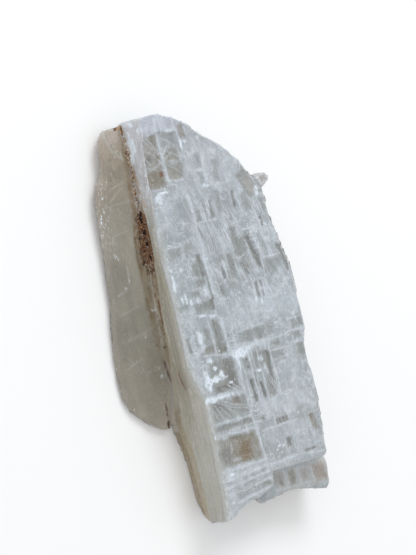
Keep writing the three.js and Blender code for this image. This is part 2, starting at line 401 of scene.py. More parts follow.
# %% [markdown]
# ## Windows, white patches and bright cracks
# Through the front one sees clear windows where the cloudiness lies deeper, white patches, most where a
# fracture comes near the surface and a few painted highlights where an edge catches the light, and thin
# bright cracks. Noise could scatter them, but this specimen has its own, so each is listed, in blade
# millimetres. A window has a middle, a width, a height, a lean in degrees, a depth and the name of its
# tone.

# %% Tones
def tone(red, green, blue):
    """A colour as it looks, 0 to 255, turned into light for the shader by the usual screen curve."""
    look = np.array((red, green, blue)) / 255
    return np.where(look > 0.04045, ((look + 0.055) / 1.055) ** 2.4, look / 12.92)


TONES = {
    "frost": tone(163, 170, 175),
    "milk": tone(188, 195, 204),
    "pearl": tone(194, 192, 194),
    "bright": tone(206, 213, 220),
    "white": tone(216, 228, 238),
    "mist": tone(157, 162, 164),
    "grey": tone(149, 151, 150),
    "slate": tone(134, 134, 131),
    "sand": tone(150, 148, 142),
    "olive": tone(138, 133, 121),
    "brown": tone(134, 119, 97),
    "taupe": tone(152, 150, 145),
    "ash": tone(170, 168, 166),
    "silver": tone(182, 184, 187),
    "cream": tone(194, 194, 187),
    "rose": tone(161, 152, 146),
    "rust": tone(120, 74, 48),
    "dark rust": tone(78, 52, 38),
    "ochre": tone(184, 140, 88),
    "shell": tone(196, 184, 176),
}
print(len(TONES), "tones")

# %% Windows in the front
WINDOWS = (
    # The flake near the head: two panes, greyer above and browner below
    (7.6, 88, 10.4, 9.6, 0, 3, "sand"), (10.8, 88.8, 4.2, 8.4, 0, 5, "olive"),
    (7, 80.6, 11.4, 9, 0, 4, "sand"), (4.6, 81.2, 6.2, 3.4, 4, 6, "slate"),
    (11, 81, 3.6, 3.4, 0, 5, "olive"), (6.2, 72.4, 13, 11.6, 0, 4, "sand"),
    (7.2, 71.4, 10.4, 9, 0, 5, "olive"), (19.6, 89, 9.4, 8.4, 0, 3, "mist"),
    (18.8, 81, 9, 8.4, 0, 3, "sand"), (18.8, 73.2, 9.2, 8.6, -2, 4, "sand"),
    (19.2, 72.2, 6.4, 5, 0, 4, "taupe"), (28, 91.5, 4, 7.4, 4, 2, "sand"),
    (10.8, 73.3, 1.9, 2.1, 0, 0, "rust"),
    # Under the head
    (32.8, 75.6, 4.6, 8.4, 0, 3, "frost"), (32.8, 67, 4, 7, 0, 2, "frost"),
    (41.5, 69, 4, 12, -3, 1, "frost"), (47.5, 53.6, 2, 8.6, 0, 4, "grey"),
    (57.6, 59.6, 8.6, 15, 22, 2, "grey"), (59, 58, 4.6, 9, 22, 1, "ash"),
    (54, 51, 6, 10, 10, 3, "mist"), (16.4, 53.4, 7.6, 11, 0, 3, "frost"),
    (33.4, 51.4, 1.8, 9, -3, 4, "grey"), (25.4, 49.6, 3, 6, -3, 3, "mist"),
    (63, 48, 3, 7, 12, 2, "mist"), (38.6, 54, 4, 12, -3, 2, "mist"),
    # The middle, where slits run along the fibres
    (6.4, 34.3, 7.6, 6.2, 0, 3, "mist"), (15.4, 36, 6, 5, 0, 2, "mist"),
    (19.6, 26, 3.8, 12, 2, 5, "slate"), (16.4, 24, 4, 8, 0, 3, "grey"),
    (16.8, 18, 6, 4.6, 14, 4, "grey"), (12.8, 13, 5.6, 3.6, 0, 3, "mist"),
    (15.6, 6.2, 11, 5, 4, 4, "grey"), (20.6, 6.4, 2.4, 6, 0, 5, "slate"),
    (3.4, 8.2, 7, 3.4, 2, 2, "mist"), (31.4, 20.4, 2.2, 8.2, 3, 6, "slate"),
    (36.4, 22, 6.6, 14, -2, 3, "grey"), (42.2, 33, 4.4, 15, -2, 5, "grey"),
    (43.6, 19.4, 3, 8, 20, 5, "grey"), (51.4, 26.5, 3.6, 18, 13, 6, "slate"),
    (60.4, 18.6, 10.6, 6.8, 0, 3, "mist"), (68, 20.5, 4.4, 15, 12, 5, "slate"),
    (47.8, 8, 2, 7.6, 0, 4, "grey"), (50.8, 8.2, 1.2, 7.6, 0, 3, "mist"),
    (25.6, 38, 1.1, 15, 16, 4, "grey"), (28.4, 34, 1, 11, 16, 4, "grey"),
    (60, 40, 1.4, 5, 6, 3, "slate"), (30, 31, 8, 15, 12, 2, "mist"), (45.4, 27, 7, 17, 6, 3, "grey"),
    (57, 29, 4, 13, 12, 3, "mist"), (34, 13, 6, 5, 0, 2, "mist"), (27.8, 12, 2, 5, 0, 3, "grey"),
    (21.6, 16, 1.4, 14, 0, 4, "grey"),
    # Below the middle, where cross cracks part the windows
    (19.4, -9.4, 5.6, 17, 0, 5, "grey"), (18.6, -9, 1.8, 17, 0, 6, "slate"),
    (13, -7.2, 3.6, 6, 0, 3, "grey"), (13, -14.4, 8, 4, 0, 4, "sand"), (20.4, -15, 4, 5, 0, 5, "slate"),
    (1.6, -10.2, 2.4, 8, 0, 3, "grey"), (38.6, -12.4, 15.4, 6, 0, 3, "mist"),
    (36, -12.2, 3, 5, 0, 3, "grey"), (42.4, -12.8, 3.4, 6, 0, 4, "grey"),
    (49.6, -12, 5, 6, 0, 2, "mist"), (16.6, -28, 15.4, 16, 0, 5, "grey"),
    (20.6, -27.6, 6.8, 15.4, 0, 7, "slate"), (16, -33.8, 11, 4.2, 8, 7, "slate"),
    (14.6, -44.2, 22.6, 9.8, 1, 4, "grey"), (9.6, -42, 7, 5, 0, 5, "slate"),
    (20.4, -41.4, 4.8, 4.6, 0, 7, "olive"), (39.6, -25, 9.6, 8.6, 0, 4, "grey"),
    (43.8, -29, 2.8, 16, -3, 6, "slate"), (30.4, -25.4, 5.6, 7, 0, 3, "mist"),
    (31.8, -23.6, 1.7, 2, 0, 6, "slate"), (31.6, -27.3, 1.5, 2, 0, 6, "slate"),
    (31.3, -39, 1.9, 12, 2, 6, "slate"), (36.7, -39.8, 2.1, 9, 2, 6, "slate"),
    (42, -38.6, 5.8, 12, 0, 5, "grey"), (34.2, -34, 2, 8, 0, 4, "grey"),
    (50.4, -25.4, 8.4, 6.6, 0, 2, "mist"), (50.6, -19.6, 4.6, 3, 0, 3, "grey"),
    (63.6, -24.8, 5, 7, 0, 4, "grey"), (67, -11.4, 3.4, 6, 0, 4, "grey"),
    (63.4, -12, 4, 5, 20, 3, "mist"), (63.6, -18, 5, 4, 0, 3, "mist"),
    (15, -52.6, 24, 3.6, 1, 4, "grey"),
    # The brown window, and the comb beside it
    (14.6, -64.4, 25.4, 14.8, 1, 5, "taupe"), (17.6, -59.2, 15, 3.6, -2, 5, "olive"),
    (16.6, -65.8, 12, 10, 0, 6, "olive"), (18.8, -65.6, 8.4, 10, 6, 7, "brown"),
    (5.6, -66, 9, 8, 0, 5, "slate"), (24.4, -66.4, 4.6, 9.4, 0, 3, "taupe"),
    (43.6, -67.6, 4, 5.6, 0, 4, "slate"), (42.6, -56, 7.4, 3, 4, 3, "grey"),
    (39.6, -56.2, 0.9, 2.6, 0, 4, "slate"), (42, -56.2, 0.9, 2.6, 0, 4, "slate"),
    (44, -56, 0.9, 2.8, 0, 4, "slate"), (45.9, -56, 0.9, 2.8, 0, 4, "slate"),
    (32.4, -53.4, 3, 3, 0, 3, "grey"), (60.4, -61, 3.8, 8.4, 6, 3, "sand"),
    (59.6, -59, 1.6, 4, 0, 4, "olive"), (54.6, -73.6, 7, 1.5, 3, 3, "grey"),
    (25, -83.4, 6, 3.2, 6, 3, "grey"), (12, -84, 12, 2, 7, 2, "mist"),
    # The ledge at the foot
    (46, -86, 32, 12, 3, 1, "silver"), (32.4, -84, 5.4, 8, 0, 3, "ash"),
    (32.8, -86, 2.6, 3, 0, 4, "taupe"), (40, -84.6, 4.4, 8.6, 0, 3, "taupe"),
    (47.4, -85.4, 4.4, 7, 0, 3, "ash"), (56.6, -85.6, 8.4, 10, 8, 1, "rose"),
)
print(len(WINDOWS), "windows")

# %% Haze, white patches and cracks in the front
HAZES = (
    # Broad milky places: middle, reach across and along, and strength
    (10, 99, 16, 5, 1.0), (3, 92, 3, 9, 0.6), (20.6, 94, 5, 2, 0.7), (24, 62.5, 18, 3, 0.45),
    (7.4, 55, 4, 9, 0.7), (24, 40, 4, 11, 0.4), (46, 2, 26, 7, 0.7), (50, 62, 14, 10, 0.25),
    (34, 74, 9, 9, 0.8), (50, 49, 5, 6, 0.6), (44, 74, 10, 10, 0.5), (1.5, -28, 4, 12, 0.8),
    (2, -12, 3, 9, 0.6), (3, -50, 2.4, 9, 0.5), (36, -5, 14, 4, 0.6), (62, -3, 7, 9, 0.6),
    (35, -17.6, 13, 2.4, 0.8), (50, -48, 18, 5.5, 1.0), (56, -40, 9, 5, 0.6), (53, -62, 9, 4, 0.7),
    (38, -61, 9, 4, 0.4), (56, -70, 7, 4, 0.6), (15, -75, 14, 1.8, 0.5), (4, -87, 4, 9, 0.6),
    (26.6, -60, 1.5, 14, 0.5), (26.2, -31, 1.3, 13, 0.15), (57, 31, 5, 14, 0.5), (4, 24, 4, 9, 0.4),
    (55, -31, 8, 7, 0.4), (30, 84, 4, 5, 0.4), (40, -76, 14, 1.6, 0.6),
)

WHITE_FLAKES_AND_HIGHLIGHTS = (
    # White flakes and a few painted highlights: middle, reach across and along, and strength
    (3.6, 97, 0.9, 2.6, 1.0), (5.6, 96.2, 0.7, 2.6, 0.9), (1.8, 89, 0.7, 2.8, 1.0),
    (25.9, 85.3, 0.7, 2.2, 1.0), (10, 64.5, 3, 0.6, 1.0), (6, 62, 2, 2.2, 0.8),
    (35, 62.8, 1.3, 0.7, 0.7), (33.2, 63.4, 0.6, 0.9, 0.7), (61.7, 55, 0.9, 2.4, 0.8),
    (28.6, 86.2, 0.7, 0.6, 0.8), (22, 93.2, 2.6, 1, 0.6), (2.2, 20.4, 0.7, 3.4, 0.9),
    (2.4, 27, 0.7, 1, 0.7), (8.2, 26.4, 0.8, 0.8, 0.6), (4.5, 12, 0.7, 1.6, 0.8),
    (6.4, 12, 0.6, 1.8, 0.8), (8.8, 9.6, 0.6, 1.4, 0.8), (13.4, 9.6, 1.3, 0.9, 0.6),
    (19, 13.4, 1.4, 2.8, 0.5), (18.6, 0.9, 2.4, 0.7, 1.0), (14, 2.3, 3, 0.5, 0.8),
    (45.7, 3.2, 0.6, 1.4, 0.9), (48.7, 1.6, 0.8, 1.3, 0.9), (8.6, -8, 1.2, 2.8, 0.8),
    (9.4, -12.6, 1.4, 1, 0.6), (17.9, -16.2, 0.7, 0.8, 0.9), (10.2, -19.8, 1.9, 1.6, 1.0),
    (12.9, -23.8, 1.2, 0.9, 1.0), (7, -28, 1.5, 4.4, 1.0), (11.6, -29.2, 4.4, 1.4, 1.0),
    (15.8, -27.2, 1.4, 1.8, 1.0), (29.8, -19.6, 3.8, 2, 1.0), (26.8, -24, 0.7, 3, 0.9),
    (34.4, -18.4, 1.2, 1.2, 0.8), (40.4, -24.8, 0.6, 1.5, 1.0), (41, -28.8, 0.9, 1.5, 1.0),
    (37, -30, 1.3, 0.6, 1.0), (38.6, -24.4, 0.4, 0.9, 0.8), (20, -32.3, 1, 0.6, 1.0),
    (22.4, -31.2, 0.5, 0.4, 1.0), (6, -38.2, 3.6, 1.5, 1.0), (13, -37.9, 5, 0.9, 0.9),
    (7.4, -75.2, 2.2, 0.6, 1.0), (2.2, -56.2, 1.6, 1, 0.8), (37.4, -67.8, 0.6, 0.4, 0.9),
    (40, -68.2, 0.5, 0.5, 0.9), (36, -69.6, 0.5, 0.4, 0.9), (38.4, -71.2, 0.7, 0.4, 0.8),
    (34.8, -71.4, 0.4, 0.4, 0.8), (53, -54.6, 0.5, 1, 0.8), (13, -68.8, 3, 0.8, 0.3),
    (11, -62, 0.6, 2.4, 0.3), (32, 24, 0.8, 1.6, 0.6), (3.6, -88.6, 0.9, 0.6, 0.8),
)

BRIGHT_CRACKS = (
    # Frames and cross cracks: from, to, and half the width
    (13.5, 94, 14, 69.6, 0.9), (24.6, 94.6, 26, 84.6, 0.7), (13.6, 69.4, 23, 68.4, 0.4),
    (3.4, 66.4, 12.4, 65.8, 0.3), (36, 79, 34.6, 62, 0.6), (12, 48.6, 20, 46.8, 0.5),
    (22, 46, 35, 46.2, 0.6), (3, 37.6, 13, 37.4, 0.7), (10, 31.2, 17, 29.8, 0.6),
    (22.6, 60, 22.8, 12, 1.5), (10, 22, 16, 21, 0.5), (55, 22.2, 66, 22.2, 0.7),
    (54.6, 22.4, 54.4, 14, 0.6), (0, 5.6, 9, 4.8, 0.6), (0.6, 1.6, 6, 0.6, 0.5),
    (10, 3.2, 20.4, 0.6, 0.6), (23.4, -1, 23.6, -18, 1.2), (15.4, -1, 15.8, -16, 0.8),
    (7.6, -16.8, 16, -17.6, 0.7), (16, -17.6, 25, -19, 0.8), (24, -18, 47, -16.8, 1.6),
    (47, -17, 60, -16, 0.7), (30, -9.4, 46, -8.8, 0.7), (45.9, -17, 46, -45, 0.8),
    (42, -20, 47, -22.4, 0.8), (47, -22.6, 60, -22.4, 0.6), (60.4, -21.2, 68, -21.4, 0.7),
    (60, -15.4, 69, -15.8, 0.8), (60, -9.6, 68, -9.2, 0.6), (33.4, -20, 33.6, -46, 0.7),
    (28.8, -22, 28.8, -46, 0.7), (2.6, -37.6, 13, -37.4, 1.7), (12, -36.4, 25.4, -37.9, 0.9),
    (25.6, -19, 26.4, -50, 0.6), (26.6, -50, 28, -72, 1.0), (2.9, -38, 2.3, -56, 0.6),
    (2.6, -50.1, 27, -49.8, 0.7), (2, -55.9, 27, -56.2, 0.7), (1.6, -73, 29, -72.4, 1.3),
    (0.6, -77.6, 28, -75, 1.5), (1, -81.4, 28, -78.4, 1.2), (3, -85, 28.6, -81.8, 1.0),
    (7, -89, 28.6, -85.6, 1.1), (30, -75.8, 46, -74.4, 1.1), (46, -74.6, 62, -75.6, 0.8),
    (46.2, -65.6, 46.4, -71, 0.6), (36, -80, 36.2, -89, 0.9), (44, -81, 44.4, -88.6, 0.9),
    (52, -82, 52.4, -89, 0.8), (29, -88.6, 52, -89.6, 0.5), (30, -58.8, 52, -57.8, 0.5),
    # Hairs in the windows
    (5.6, 91, 9.6, 86, 0.4), (7.4, 91.6, 11.4, 85.4, 0.4), (3.4, 86.4, 7.6, 84.4, 0.4),
    (2.6, 85, 6.4, 79, 0.4), (8.6, 84, 12.6, 78, 0.4), (14.4, 82, 18.4, 86.4, 0.4),
    (14.6, 80, 20.4, 83, 0.4), (15, 84.6, 23.6, 80, 0.4), (15, 79, 23, 78.4, 0.25),
    (16, 76.6, 21.4, 73, 0.35), (3, 78, 8, 76, 0.35), (5, 75.6, 12, 78.8, 0.35), (16, 90, 22, 86, 0.4),
    (41.6, 24.4, 44.8, 25.8, 0.5), (45.2, 26.6, 47.4, 19.4, 0.45), (46.6, 27, 48.6, 19.4, 0.45),
    (48, 27.6, 49.6, 20.4, 0.45), (52.2, 38, 55.6, 22.6, 0.55), (53.8, 38.6, 57, 23, 0.55),
    (51, 39.4, 54, 28, 0.5), (55.4, 38, 58.4, 24, 0.5), (24.6, 45, 27.5, 29, 0.5),
    (26, 45, 28.9, 28, 0.5), (27.6, 42, 30.2, 27.4, 0.5), (29.2, 44, 31.8, 29, 0.5),
    (30.8, 42, 33, 29, 0.5), (32.4, 44, 34.8, 30, 0.45), (34, 40, 36, 29, 0.45),
    (30.4, 25.2, 32.6, 22.8, 0.5), (32.9, 22.4, 32.9, 17.6, 0.5), (32.6, 17.2, 30.6, 15.9, 0.5),
    (46.2, 12, 45.8, 4, 0.5), (49.4, 11.6, 49.2, 3, 0.45), (52, 12, 52, 5, 0.4),
    (38.6, 30, 39.4, 16, 0.4), (34.4, 30, 34.8, 16, 0.4), (9, -39.6, 16, -43.4, 0.4),
    (16, -43.4, 25, -46, 0.4), (12, -39.6, 17, -42.4, 0.4), (17, -42.4, 25, -44.6, 0.4),
    (7, -41, 10.4, -47.6, 0.4), (10, -42, 14.6, -48, 0.4), (13.6, -43, 19, -47.6, 0.4),
    (5, -41.6, 7, -47.6, 0.4), (17.4, -33, 22.6, -36.8, 0.35), (19, -31.4, 24.4, -36.4, 0.35),
    (40, -31.4, 44.6, -43, 0.45), (41.2, -30.8, 45.2, -40.6, 0.45), (38.6, -31, 38.8, -45, 0.5),
    (34.8, -30, 35, -45, 0.45), (35.4, -20, 35.6, -29, 0.45), (38.8, -20, 38.4, -29, 0.4),
    (48, -27, 56, -26.4, 0.35), (48, -29.4, 54, -29, 0.35),
)
print(len(HAZES), "hazes,", len(WHITE_FLAKES_AND_HIGHLIGHTS), "patches,", len(BRIGHT_CRACKS), "cracks")

# %% Lines and spots on the flank and side blade
LEFT_LINES = (
    # From, to, width, tone and strength; x is across the picture
    (2.3, -14.8, 2.7, -24.5, 0.8, "dark rust", 0.9), (7.9, -21.6, 8.8, -30.2, 0.55, "rust", 0.9),
    (7.1, 15, 6.1, 3, 0.6, "rust", 0.8), (16.9, 57, 15.4, 42, 0.8, "ochre", 0.5),
    (14.6, 61, 12.9, 49, 0.7, "sand", 0.6), (12.4, 49, 15.4, 48.4, 0.6, "cream", 0.6),
    (10.2, 96, 11.8, 60, 0.7, "ochre", 0.45), (8.4, 84, 9.2, 64, 0.6, "sand", 0.5),
    # The facet at the side blade's head, and scratches below it
    (0.9, 99.3, 3.5, 90.1, 0.9, "cream", 0.7), (3.5, 90.1, 7.7, 85, 0.9, "cream", 0.6),
    (2.2, 98.4, 4.4, 91, 0.7, "sand", 0.5), (-2.8, 71.7, 5, 74.7, 0.6, "cream", 0.6),
    (-4.1, 66.5, 3.1, 71.2, 0.6, "cream", 0.5), (-7.8, 63.9, 5.5, 65, 0.5, "cream", 0.4),
    (-6.8, 50.2, 1.6, 51.5, 0.6, "cream", 0.5), (-10.4, 48.1, -3, 46, 0.5, "cream", 0.4),
    (-3.4, 34.3, -4.4, 26.5, 0.6, "cream", 0.6), (-10.6, 22.1, -6, 24.4, 0.6, "cream", 0.5),
    (-8, 41.8, -6.4, 38.6, 0.6, "cream", 0.6), (-13.4, 44, -13, 33, 0.5, "cream", 0.4),
    (-14.9, -0.4, -3.1, 0.8, 1.4, "cream", 0.2), (3.4, -25, -2.4, -44, 0.6, "sand", 0.6),
    (-12.4, 12, -2.4, 14.6, 0.5, "cream", 0.35), (-16, -14, -6, -10, 0.5, "cream", 0.35),
)

LEFT_SPOTS = (
    # Middle, reach across and along, strength and tone; x is across the picture
    (5.4, 96.6, 3.2, 2.6, 0.5, "shell"), (-0.4, 82, 3, 5, 0.5, "olive"),
    (3.6, 79.4, 2.6, 3.6, 0.5, "olive"), (8.7, 100.3, 1.7, 0.9, 0.9, "ochre"),
    (10.4, 97.8, 0.8, 1.4, 0.7, "ochre"), (7, 100.5, 0.6, 0.8, 0.9, "dark rust"),
    (4.6, 92.3, 1.1, 1.1, 0.8, "cream"), (4.9, 89.7, 1.3, 1, 0.8, "cream"),
    (6.9, 87.7, 0.8, 1.4, 0.7, "cream"), (5, 91.2, 0.6, 0.5, 0.6, "rose"),
    (3.7, -2.8, 0.6, 0.6, 1, "dark rust"), (0.7, -5.9, 0.5, 0.5, 0.8, "dark rust"),
    (4.3, -7.8, 0.5, 0.5, 0.8, "dark rust"), (-3.2, -44.4, 0.5, 1.9, 0.9, "dark rust"),
    (-2.4, -38, 0.45, 3, 0.7, "dark rust"),
)

LEFT_DASHES = (
    # Short bright dashes: middle, reach across and along, and strength
    (3.8, 87.5, 0.7, 0.7, 0.8), (-4.6, 62.6, 1.4, 0.8, 0.8), (-9.9, 60.5, 0.6, 2.4, 1),
    (-10.4, 57, 0.6, 1.4, 0.9), (-7, 69, 0.6, 1.2, 0.8), (-7.6, 40.6, 0.7, 1.2, 0.7),
    (-7, 38.6, 0.6, 0.6, 0.6), (-6.7, 24.6, 0.5, 0.5, 0.9), (-10.9, 21.7, 0.5, 0.9, 0.7),
    (-11.4, 30.3, 0.5, 0.5, 0.8), (-4, 27.6, 0.6, 1, 0.6), (-10.2, -11.6, 0.5, 1.8, 0.6),
    (-8.6, -15, 0.5, 1.8, 0.6), (-6.8, -17.5, 1.1, 0.9, 0.7), (-2.1, 2.4, 0.6, 1.4, 0.6),
    (-3.3, -0.3, 0.6, 1, 0.6), (-1.6, -16.8, 1.6, 1.2, 0.6), (0.2, -20.2, 1, 1.8, 0.55),
    (-17.5, -33.7, 0.8, 1.4, 0.55), (-12.5, -34, 0.6, 0.8, 0.5), (4.2, 10.6, 1.3, 0.7, 0.8),
    (6.6, 9.1, 0.7, 0.7, 0.8), (-13.9, -2.6, 0.5, 0.5, 0.7), (-24.3, -27, 0.5, 0.8, 0.6),
    (13.6, 94, 0.7, 3, 0.8), (12.6, 88, 0.6, 2.6, 0.6), (14.2, 82, 0.6, 3, 0.6),
    (15.6, 68, 0.7, 2.4, 0.7),
)
print(len(LEFT_LINES), "lines,", len(LEFT_SPOTS), "spots and", len(LEFT_DASHES), "places with dashes")

# %% [markdown]
# ## How far a mark reaches
# A ruler-straight edge would look painted on. Noise is added to each point's distance from a mark's edge,
# so windows fray, patches tear and cracks waver and break off. It is worked out once for each set of
# points, because there are many marks.

# %% Where windows, patches and cracks reach
FRAYS = {
    # Strength, lumps in mm and seed of the noise for each kind of edge
    "window": ((0.6, (1.1, 2.0, 50), 21), (0.4, (0.8, 0.8, 50), 26)),
    "patch": ((0.6, (0.9, 1.6, 50), 22), (0.5, (2.4, 3.6, 50), 27)),
    "cloud": ((0.5, (3, 4, 50), 28), (0.3, (1.2, 2, 50), 29)),
    "waver x": ((0.45, (4, 6, 50), 23),),
    "waver y": ((0.45, (6, 4, 50), 24),),
    "gaps": ((0.34, (1.2, 2.6, 50), 25),),
}
CRACK_FILL = 0.66
CRACK_CORE = 0.2
PATCH_SOFT = 0.15
WINDOW_SOFTEST = 2.0
WINDOW_SOFT = 0.32
SOFT_OUTSIDE = 0.4
BOWL = (-0.1, 0.5)


def rough_edges(points):
    """Noise that frays the edges of all marks."""
    frays = {name: layered(points, *layers) for name, layers in FRAYS.items()}
    return {"x": points[:, 0], "y": points[:, 1], **frays}


def window_share(rough, window):
    """How far inside a window each point is, with soft ragged edges, and how deep, as in a bowl."""
    middle_x, middle_y, wide, tall, lean = window[:5]
    angle = math.radians(lean)
    offset_x = rough["x"] - middle_x
    offset_y = rough["y"] - middle_y
    side = offset_x * math.cos(angle) + offset_y * math.sin(angle)
    rise = offset_y * math.cos(angle) - offset_x * math.sin(angle)
    inside = np.minimum(wide / 2 - abs(side), tall / 2 - abs(rise))
    small = min(wide, tall)
    soft = min(WINDOW_SOFTEST, WINDOW_SOFT * small)
    share = ramp(-SOFT_OUTSIDE * soft, soft, inside + rough["window"])
    return share, ramp(BOWL[0] * small, BOWL[1] * small, inside)


def patch_share(rough, patch, soft=PATCH_SOFT, edge="patch"):
    """A patch's strength inside it, falling to 0 over its soft rim."""
    middle_x, middle_y, reach_x, reach_y, strength = patch[:5]
    away = np.hypot((rough["x"] - middle_x) / reach_x, (rough["y"] - middle_y) / reach_y)
    return strength * ramp(1 + soft, 1 - soft, away + rough[edge])


def crack_share(rough, crack):
    """1 in the middle of a crack, falling to 0 at half its width, with gaps along it."""
    start, stop, width = np.array(crack[0:2]), np.array(crack[2:4]), crack[4]
    offset = np.stack([rough["x"] + rough["waver x"], rough["y"] + rough["waver y"]], axis=1) - start
    run = stop - start
    share = np.clip(offset @ run / (run @ run), 0, 1)
    away = np.linalg.norm(offset - share[:, None] * run, axis=1)
    return ramp(width, CRACK_CORE * width, away) * (CRACK_FILL + rough["gaps"])


print(len(FRAYS), "kinds of edge")

# %% [markdown]
# ## An even mesh over the solid
# The solid has few, large triangles. A voxel remesh covers it with small even quads, which the relief can
# move, and a little smoothing rounds the edges as wear does. The solid itself is never changed: its mesh
# is copied first. The faces that the photograph shows carry the finest marks, so their quads can be split
# once more.

# %% Remesh and move
WELD_GAP = 0.002
SEEN_ABOVE = 0.45


def even_copy(name, voxel, wear):
    """A new object with the solid's shape in even quads of so many mm, smoothed wear times."""
    piece = bpy.data.objects.new(name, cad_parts["selenite_blade"].data.copy())
    piece.data.materials.clear()
    scene.collection.objects.link(piece)
    weld = piece.modifiers.new("weld", "WELD")
    weld.merge_threshold = WELD_GAP * MM
    even = piece.modifiers.new("even", "REMESH")
    even.mode = "VOXEL"
    even.voxel_size = voxel * MM
    worn = piece.modifiers.new("worn", "SMOOTH")
    worn.iterations = wear
    graph = bpy.context.evaluated_depsgraph_get()
    mesh = bpy.data.meshes.new_from_object(piece.evaluated_get(graph))
    piece.modifiers.clear()
    piece.data = mesh
    mesh.name = name
    return piece


def refine_seen(piece):
    """Splits in four the quads that look towards the camera's side: front, ledge, flank and side blade."""
    mesh = bmesh.new()
    mesh.from_mesh(piece.data)
    faces = [face for face in mesh.faces if face.normal.dot(towards) > SEEN_ABOVE]
    edges = {edge for face in faces for edge in face.edges}
    bmesh.ops.subdivide_edges(mesh, edges=list(edges), cuts=1, use_grid_fill=True)
    bmesh.ops.triangulate(mesh, faces=[face for face in mesh.faces if len(face.verts) > 4])
    mesh.to_mesh(piece.data)
    mesh.free()


def read_points(piece):
    """Places in blade mm and normals of a piece's vertices."""
    places = np.empty(len(piece.data.vertices) * 3)
    piece.data.vertices.foreach_get("co", places)
    normals = np.empty_like(places)
    piece.data.vertex_normals.foreach_get("vector", normals)
    return to_blade(places.reshape(-1, 3)), normals.reshape(-1, 3)


def write_points(piece, points):
    piece.data.vertices.foreach_set("co", to_scene(points).ravel())
    piece.data.update()


def write_values(piece, name, values):
    """Stores a number, a place or a colour for each vertex."""
    if values.ndim == 1:
        layer = piece.data.attributes.new(name, "FLOAT", "POINT")
        layer.data.foreach_set("value", values)
    elif name.endswith("place"):
        layer = piece.data.attributes.new(name, "FLOAT_VECTOR", "POINT")
        layer.data.foreach_set("vector", values.ravel())
    else:
        layer = piece.data.attributes.new(name, "FLOAT_COLOR", "POINT")
        opaque = np.concatenate([values, np.ones((len(values), 1))], axis=1)
        layer.data.foreach_set("color", opaque.ravel())


print("solid:", len(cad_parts["selenite_blade"].data.polygons), "faces")

# %% [markdown]
# ## The clear skin
# The outside of the crystal is clear. Its mesh carries the relief, and two numbers for each point: how
# frosty the surface is and how much rust has soaked into it. Both could be painted pictures, but numbers
# on the points need no unwrapping and follow the faces.

# %% Frost and rust in the skin
FROST_MEAN = 0.5
FROST = (0.5, (5, 30, 20), 32)
BROKEN_FROST = 0.5
FLANK_FROST = 0.6
SIDE_FROST = 0.6
RUST_Y = (-50, -40, -20, -8, 15, 28, 36, 54, 60, 75, 98, 102)
RUST_SHARE = (0.5, 0.6, 0.5, 0.55, 0.55, 0.65, 1.0, 1.0, 0.6, 0.6, 0.6, 0.5)
RUST_MEAN = 0.7
RUST_PATCHES = (0.4, (1.6, 4, 1.6), 31)
RUST_OVER_SEAM = (1.8, 0.2)
RUST_UNDER_SEAM = (5, 2)
RUST_NARROWS_Y = (54, 60)


def frost_share(points, shares):
    """How frosty each point is: streaky on the front and ledge, even on the other faces."""
    streaky = FROST_MEAN + layered(fanned(points), FROST)
    smooth_faces = shares["front"] + shares["ledge"]
    frost = streaky * smooth_faces + BROKEN_FROST * shares["broken"] + FLANK_FROST * shares["flank"]
    return np.maximum(np.clip(frost, 0, 1), SIDE_FROST * shares["side"])


def rust_share(points, shares):
    """How stained each point is: the strip between the blades, most where the crust sits."""
    y = points[:, 1]
    over_seam = points[:, 2] - along_strip(y, SEAM_Z)
    close = ramp(*RUST_OVER_SEAM, over_seam * (1 + ramp(*RUST_NARROWS_Y, y)))
    near_seam = close * shares["flank"] * ramp(*RUST_UNDER_SEAM, -over_seam)
    patchy = RUST_MEAN + layered(points, RUST_PATCHES)
    stain = np.maximum(shares["strip"], near_seam) * np.interp(y, RUST_Y, RUST_SHARE)
    return np.clip(stain * patchy, 0, 1)


print("most rust at y =", RUST_Y[int(np.argmax(RUST_SHARE))], "mm")

# %% Clear crystal
SKIN_VOXEL = 0.75
SKIN_WEAR = 2
BED = 0.05


def on_table(points):
    """Keeps points from sinking into the table."""
    points[:, 2] = np.maximum(points[:, 2], BED)
    return points


crystal = even_copy("clear_crystal", SKIN_VOXEL, SKIN_WEAR)
places, normals = read_points(crystal)
shares = face_shares(places, normals)
heights = relief(places, shares)
rust = rust_share(places, shares)
write_values(crystal, "frost", np.maximum(frost_share(places, shares), rust))
write_values(crystal, "rust", rust)
write_values(crystal, "grain_place", streak_places(places, normals))
write_points(crystal, on_table(places + normals * heights[:, None]))
crystal.data.shade_smooth()
print("clear crystal:", len(crystal.data.polygons), "faces")

# %% [markdown]
# ## The milky veils
# Under the clear skin lies the cloudiness. It could be a volume, but a volume is slow and can't be
# carried to other programs, so it is a surface: it follows the skin a little way in, and drops deeper
# under each window. Its colour is worked out from the same windows, patches and cracks. Faces seen from
# the left change along the blade, so each has a short list of heights and tones.

# %% Tones along the blade
FLANK_BANDS = (
    (-96, tone(171, 168, 156)), (-72, tone(182, 180, 168)), (-45, tone(178, 174, 160)),
    (-25, tone(174, 167, 149)), (0, tone(184, 178, 161)), (28, tone(168, 161, 142)),
    (45, tone(182, 178, 164)), (58, tone(194, 193, 189)), (66, tone(194, 194, 195)),
    (100, tone(199, 199, 203)),
)
BACK_BANDS = (
    (-96, tone(178, 168, 147)), (-70, tone(178, 167, 145)), (-57, tone(166, 153, 128)),
    (-50, tone(152, 138, 112)), (-40, tone(149, 138, 116)),
)
SIDE_BANDS = (
    (-47, tone(168, 161, 147)), (-20, tone(145, 140, 127)), (20, tone(146, 142, 130)),
    (55, tone(157, 152, 139)), (75, tone(160, 151, 135)), (90, tone(170, 158, 141)),
    (102, tone(186, 179, 168)),
)
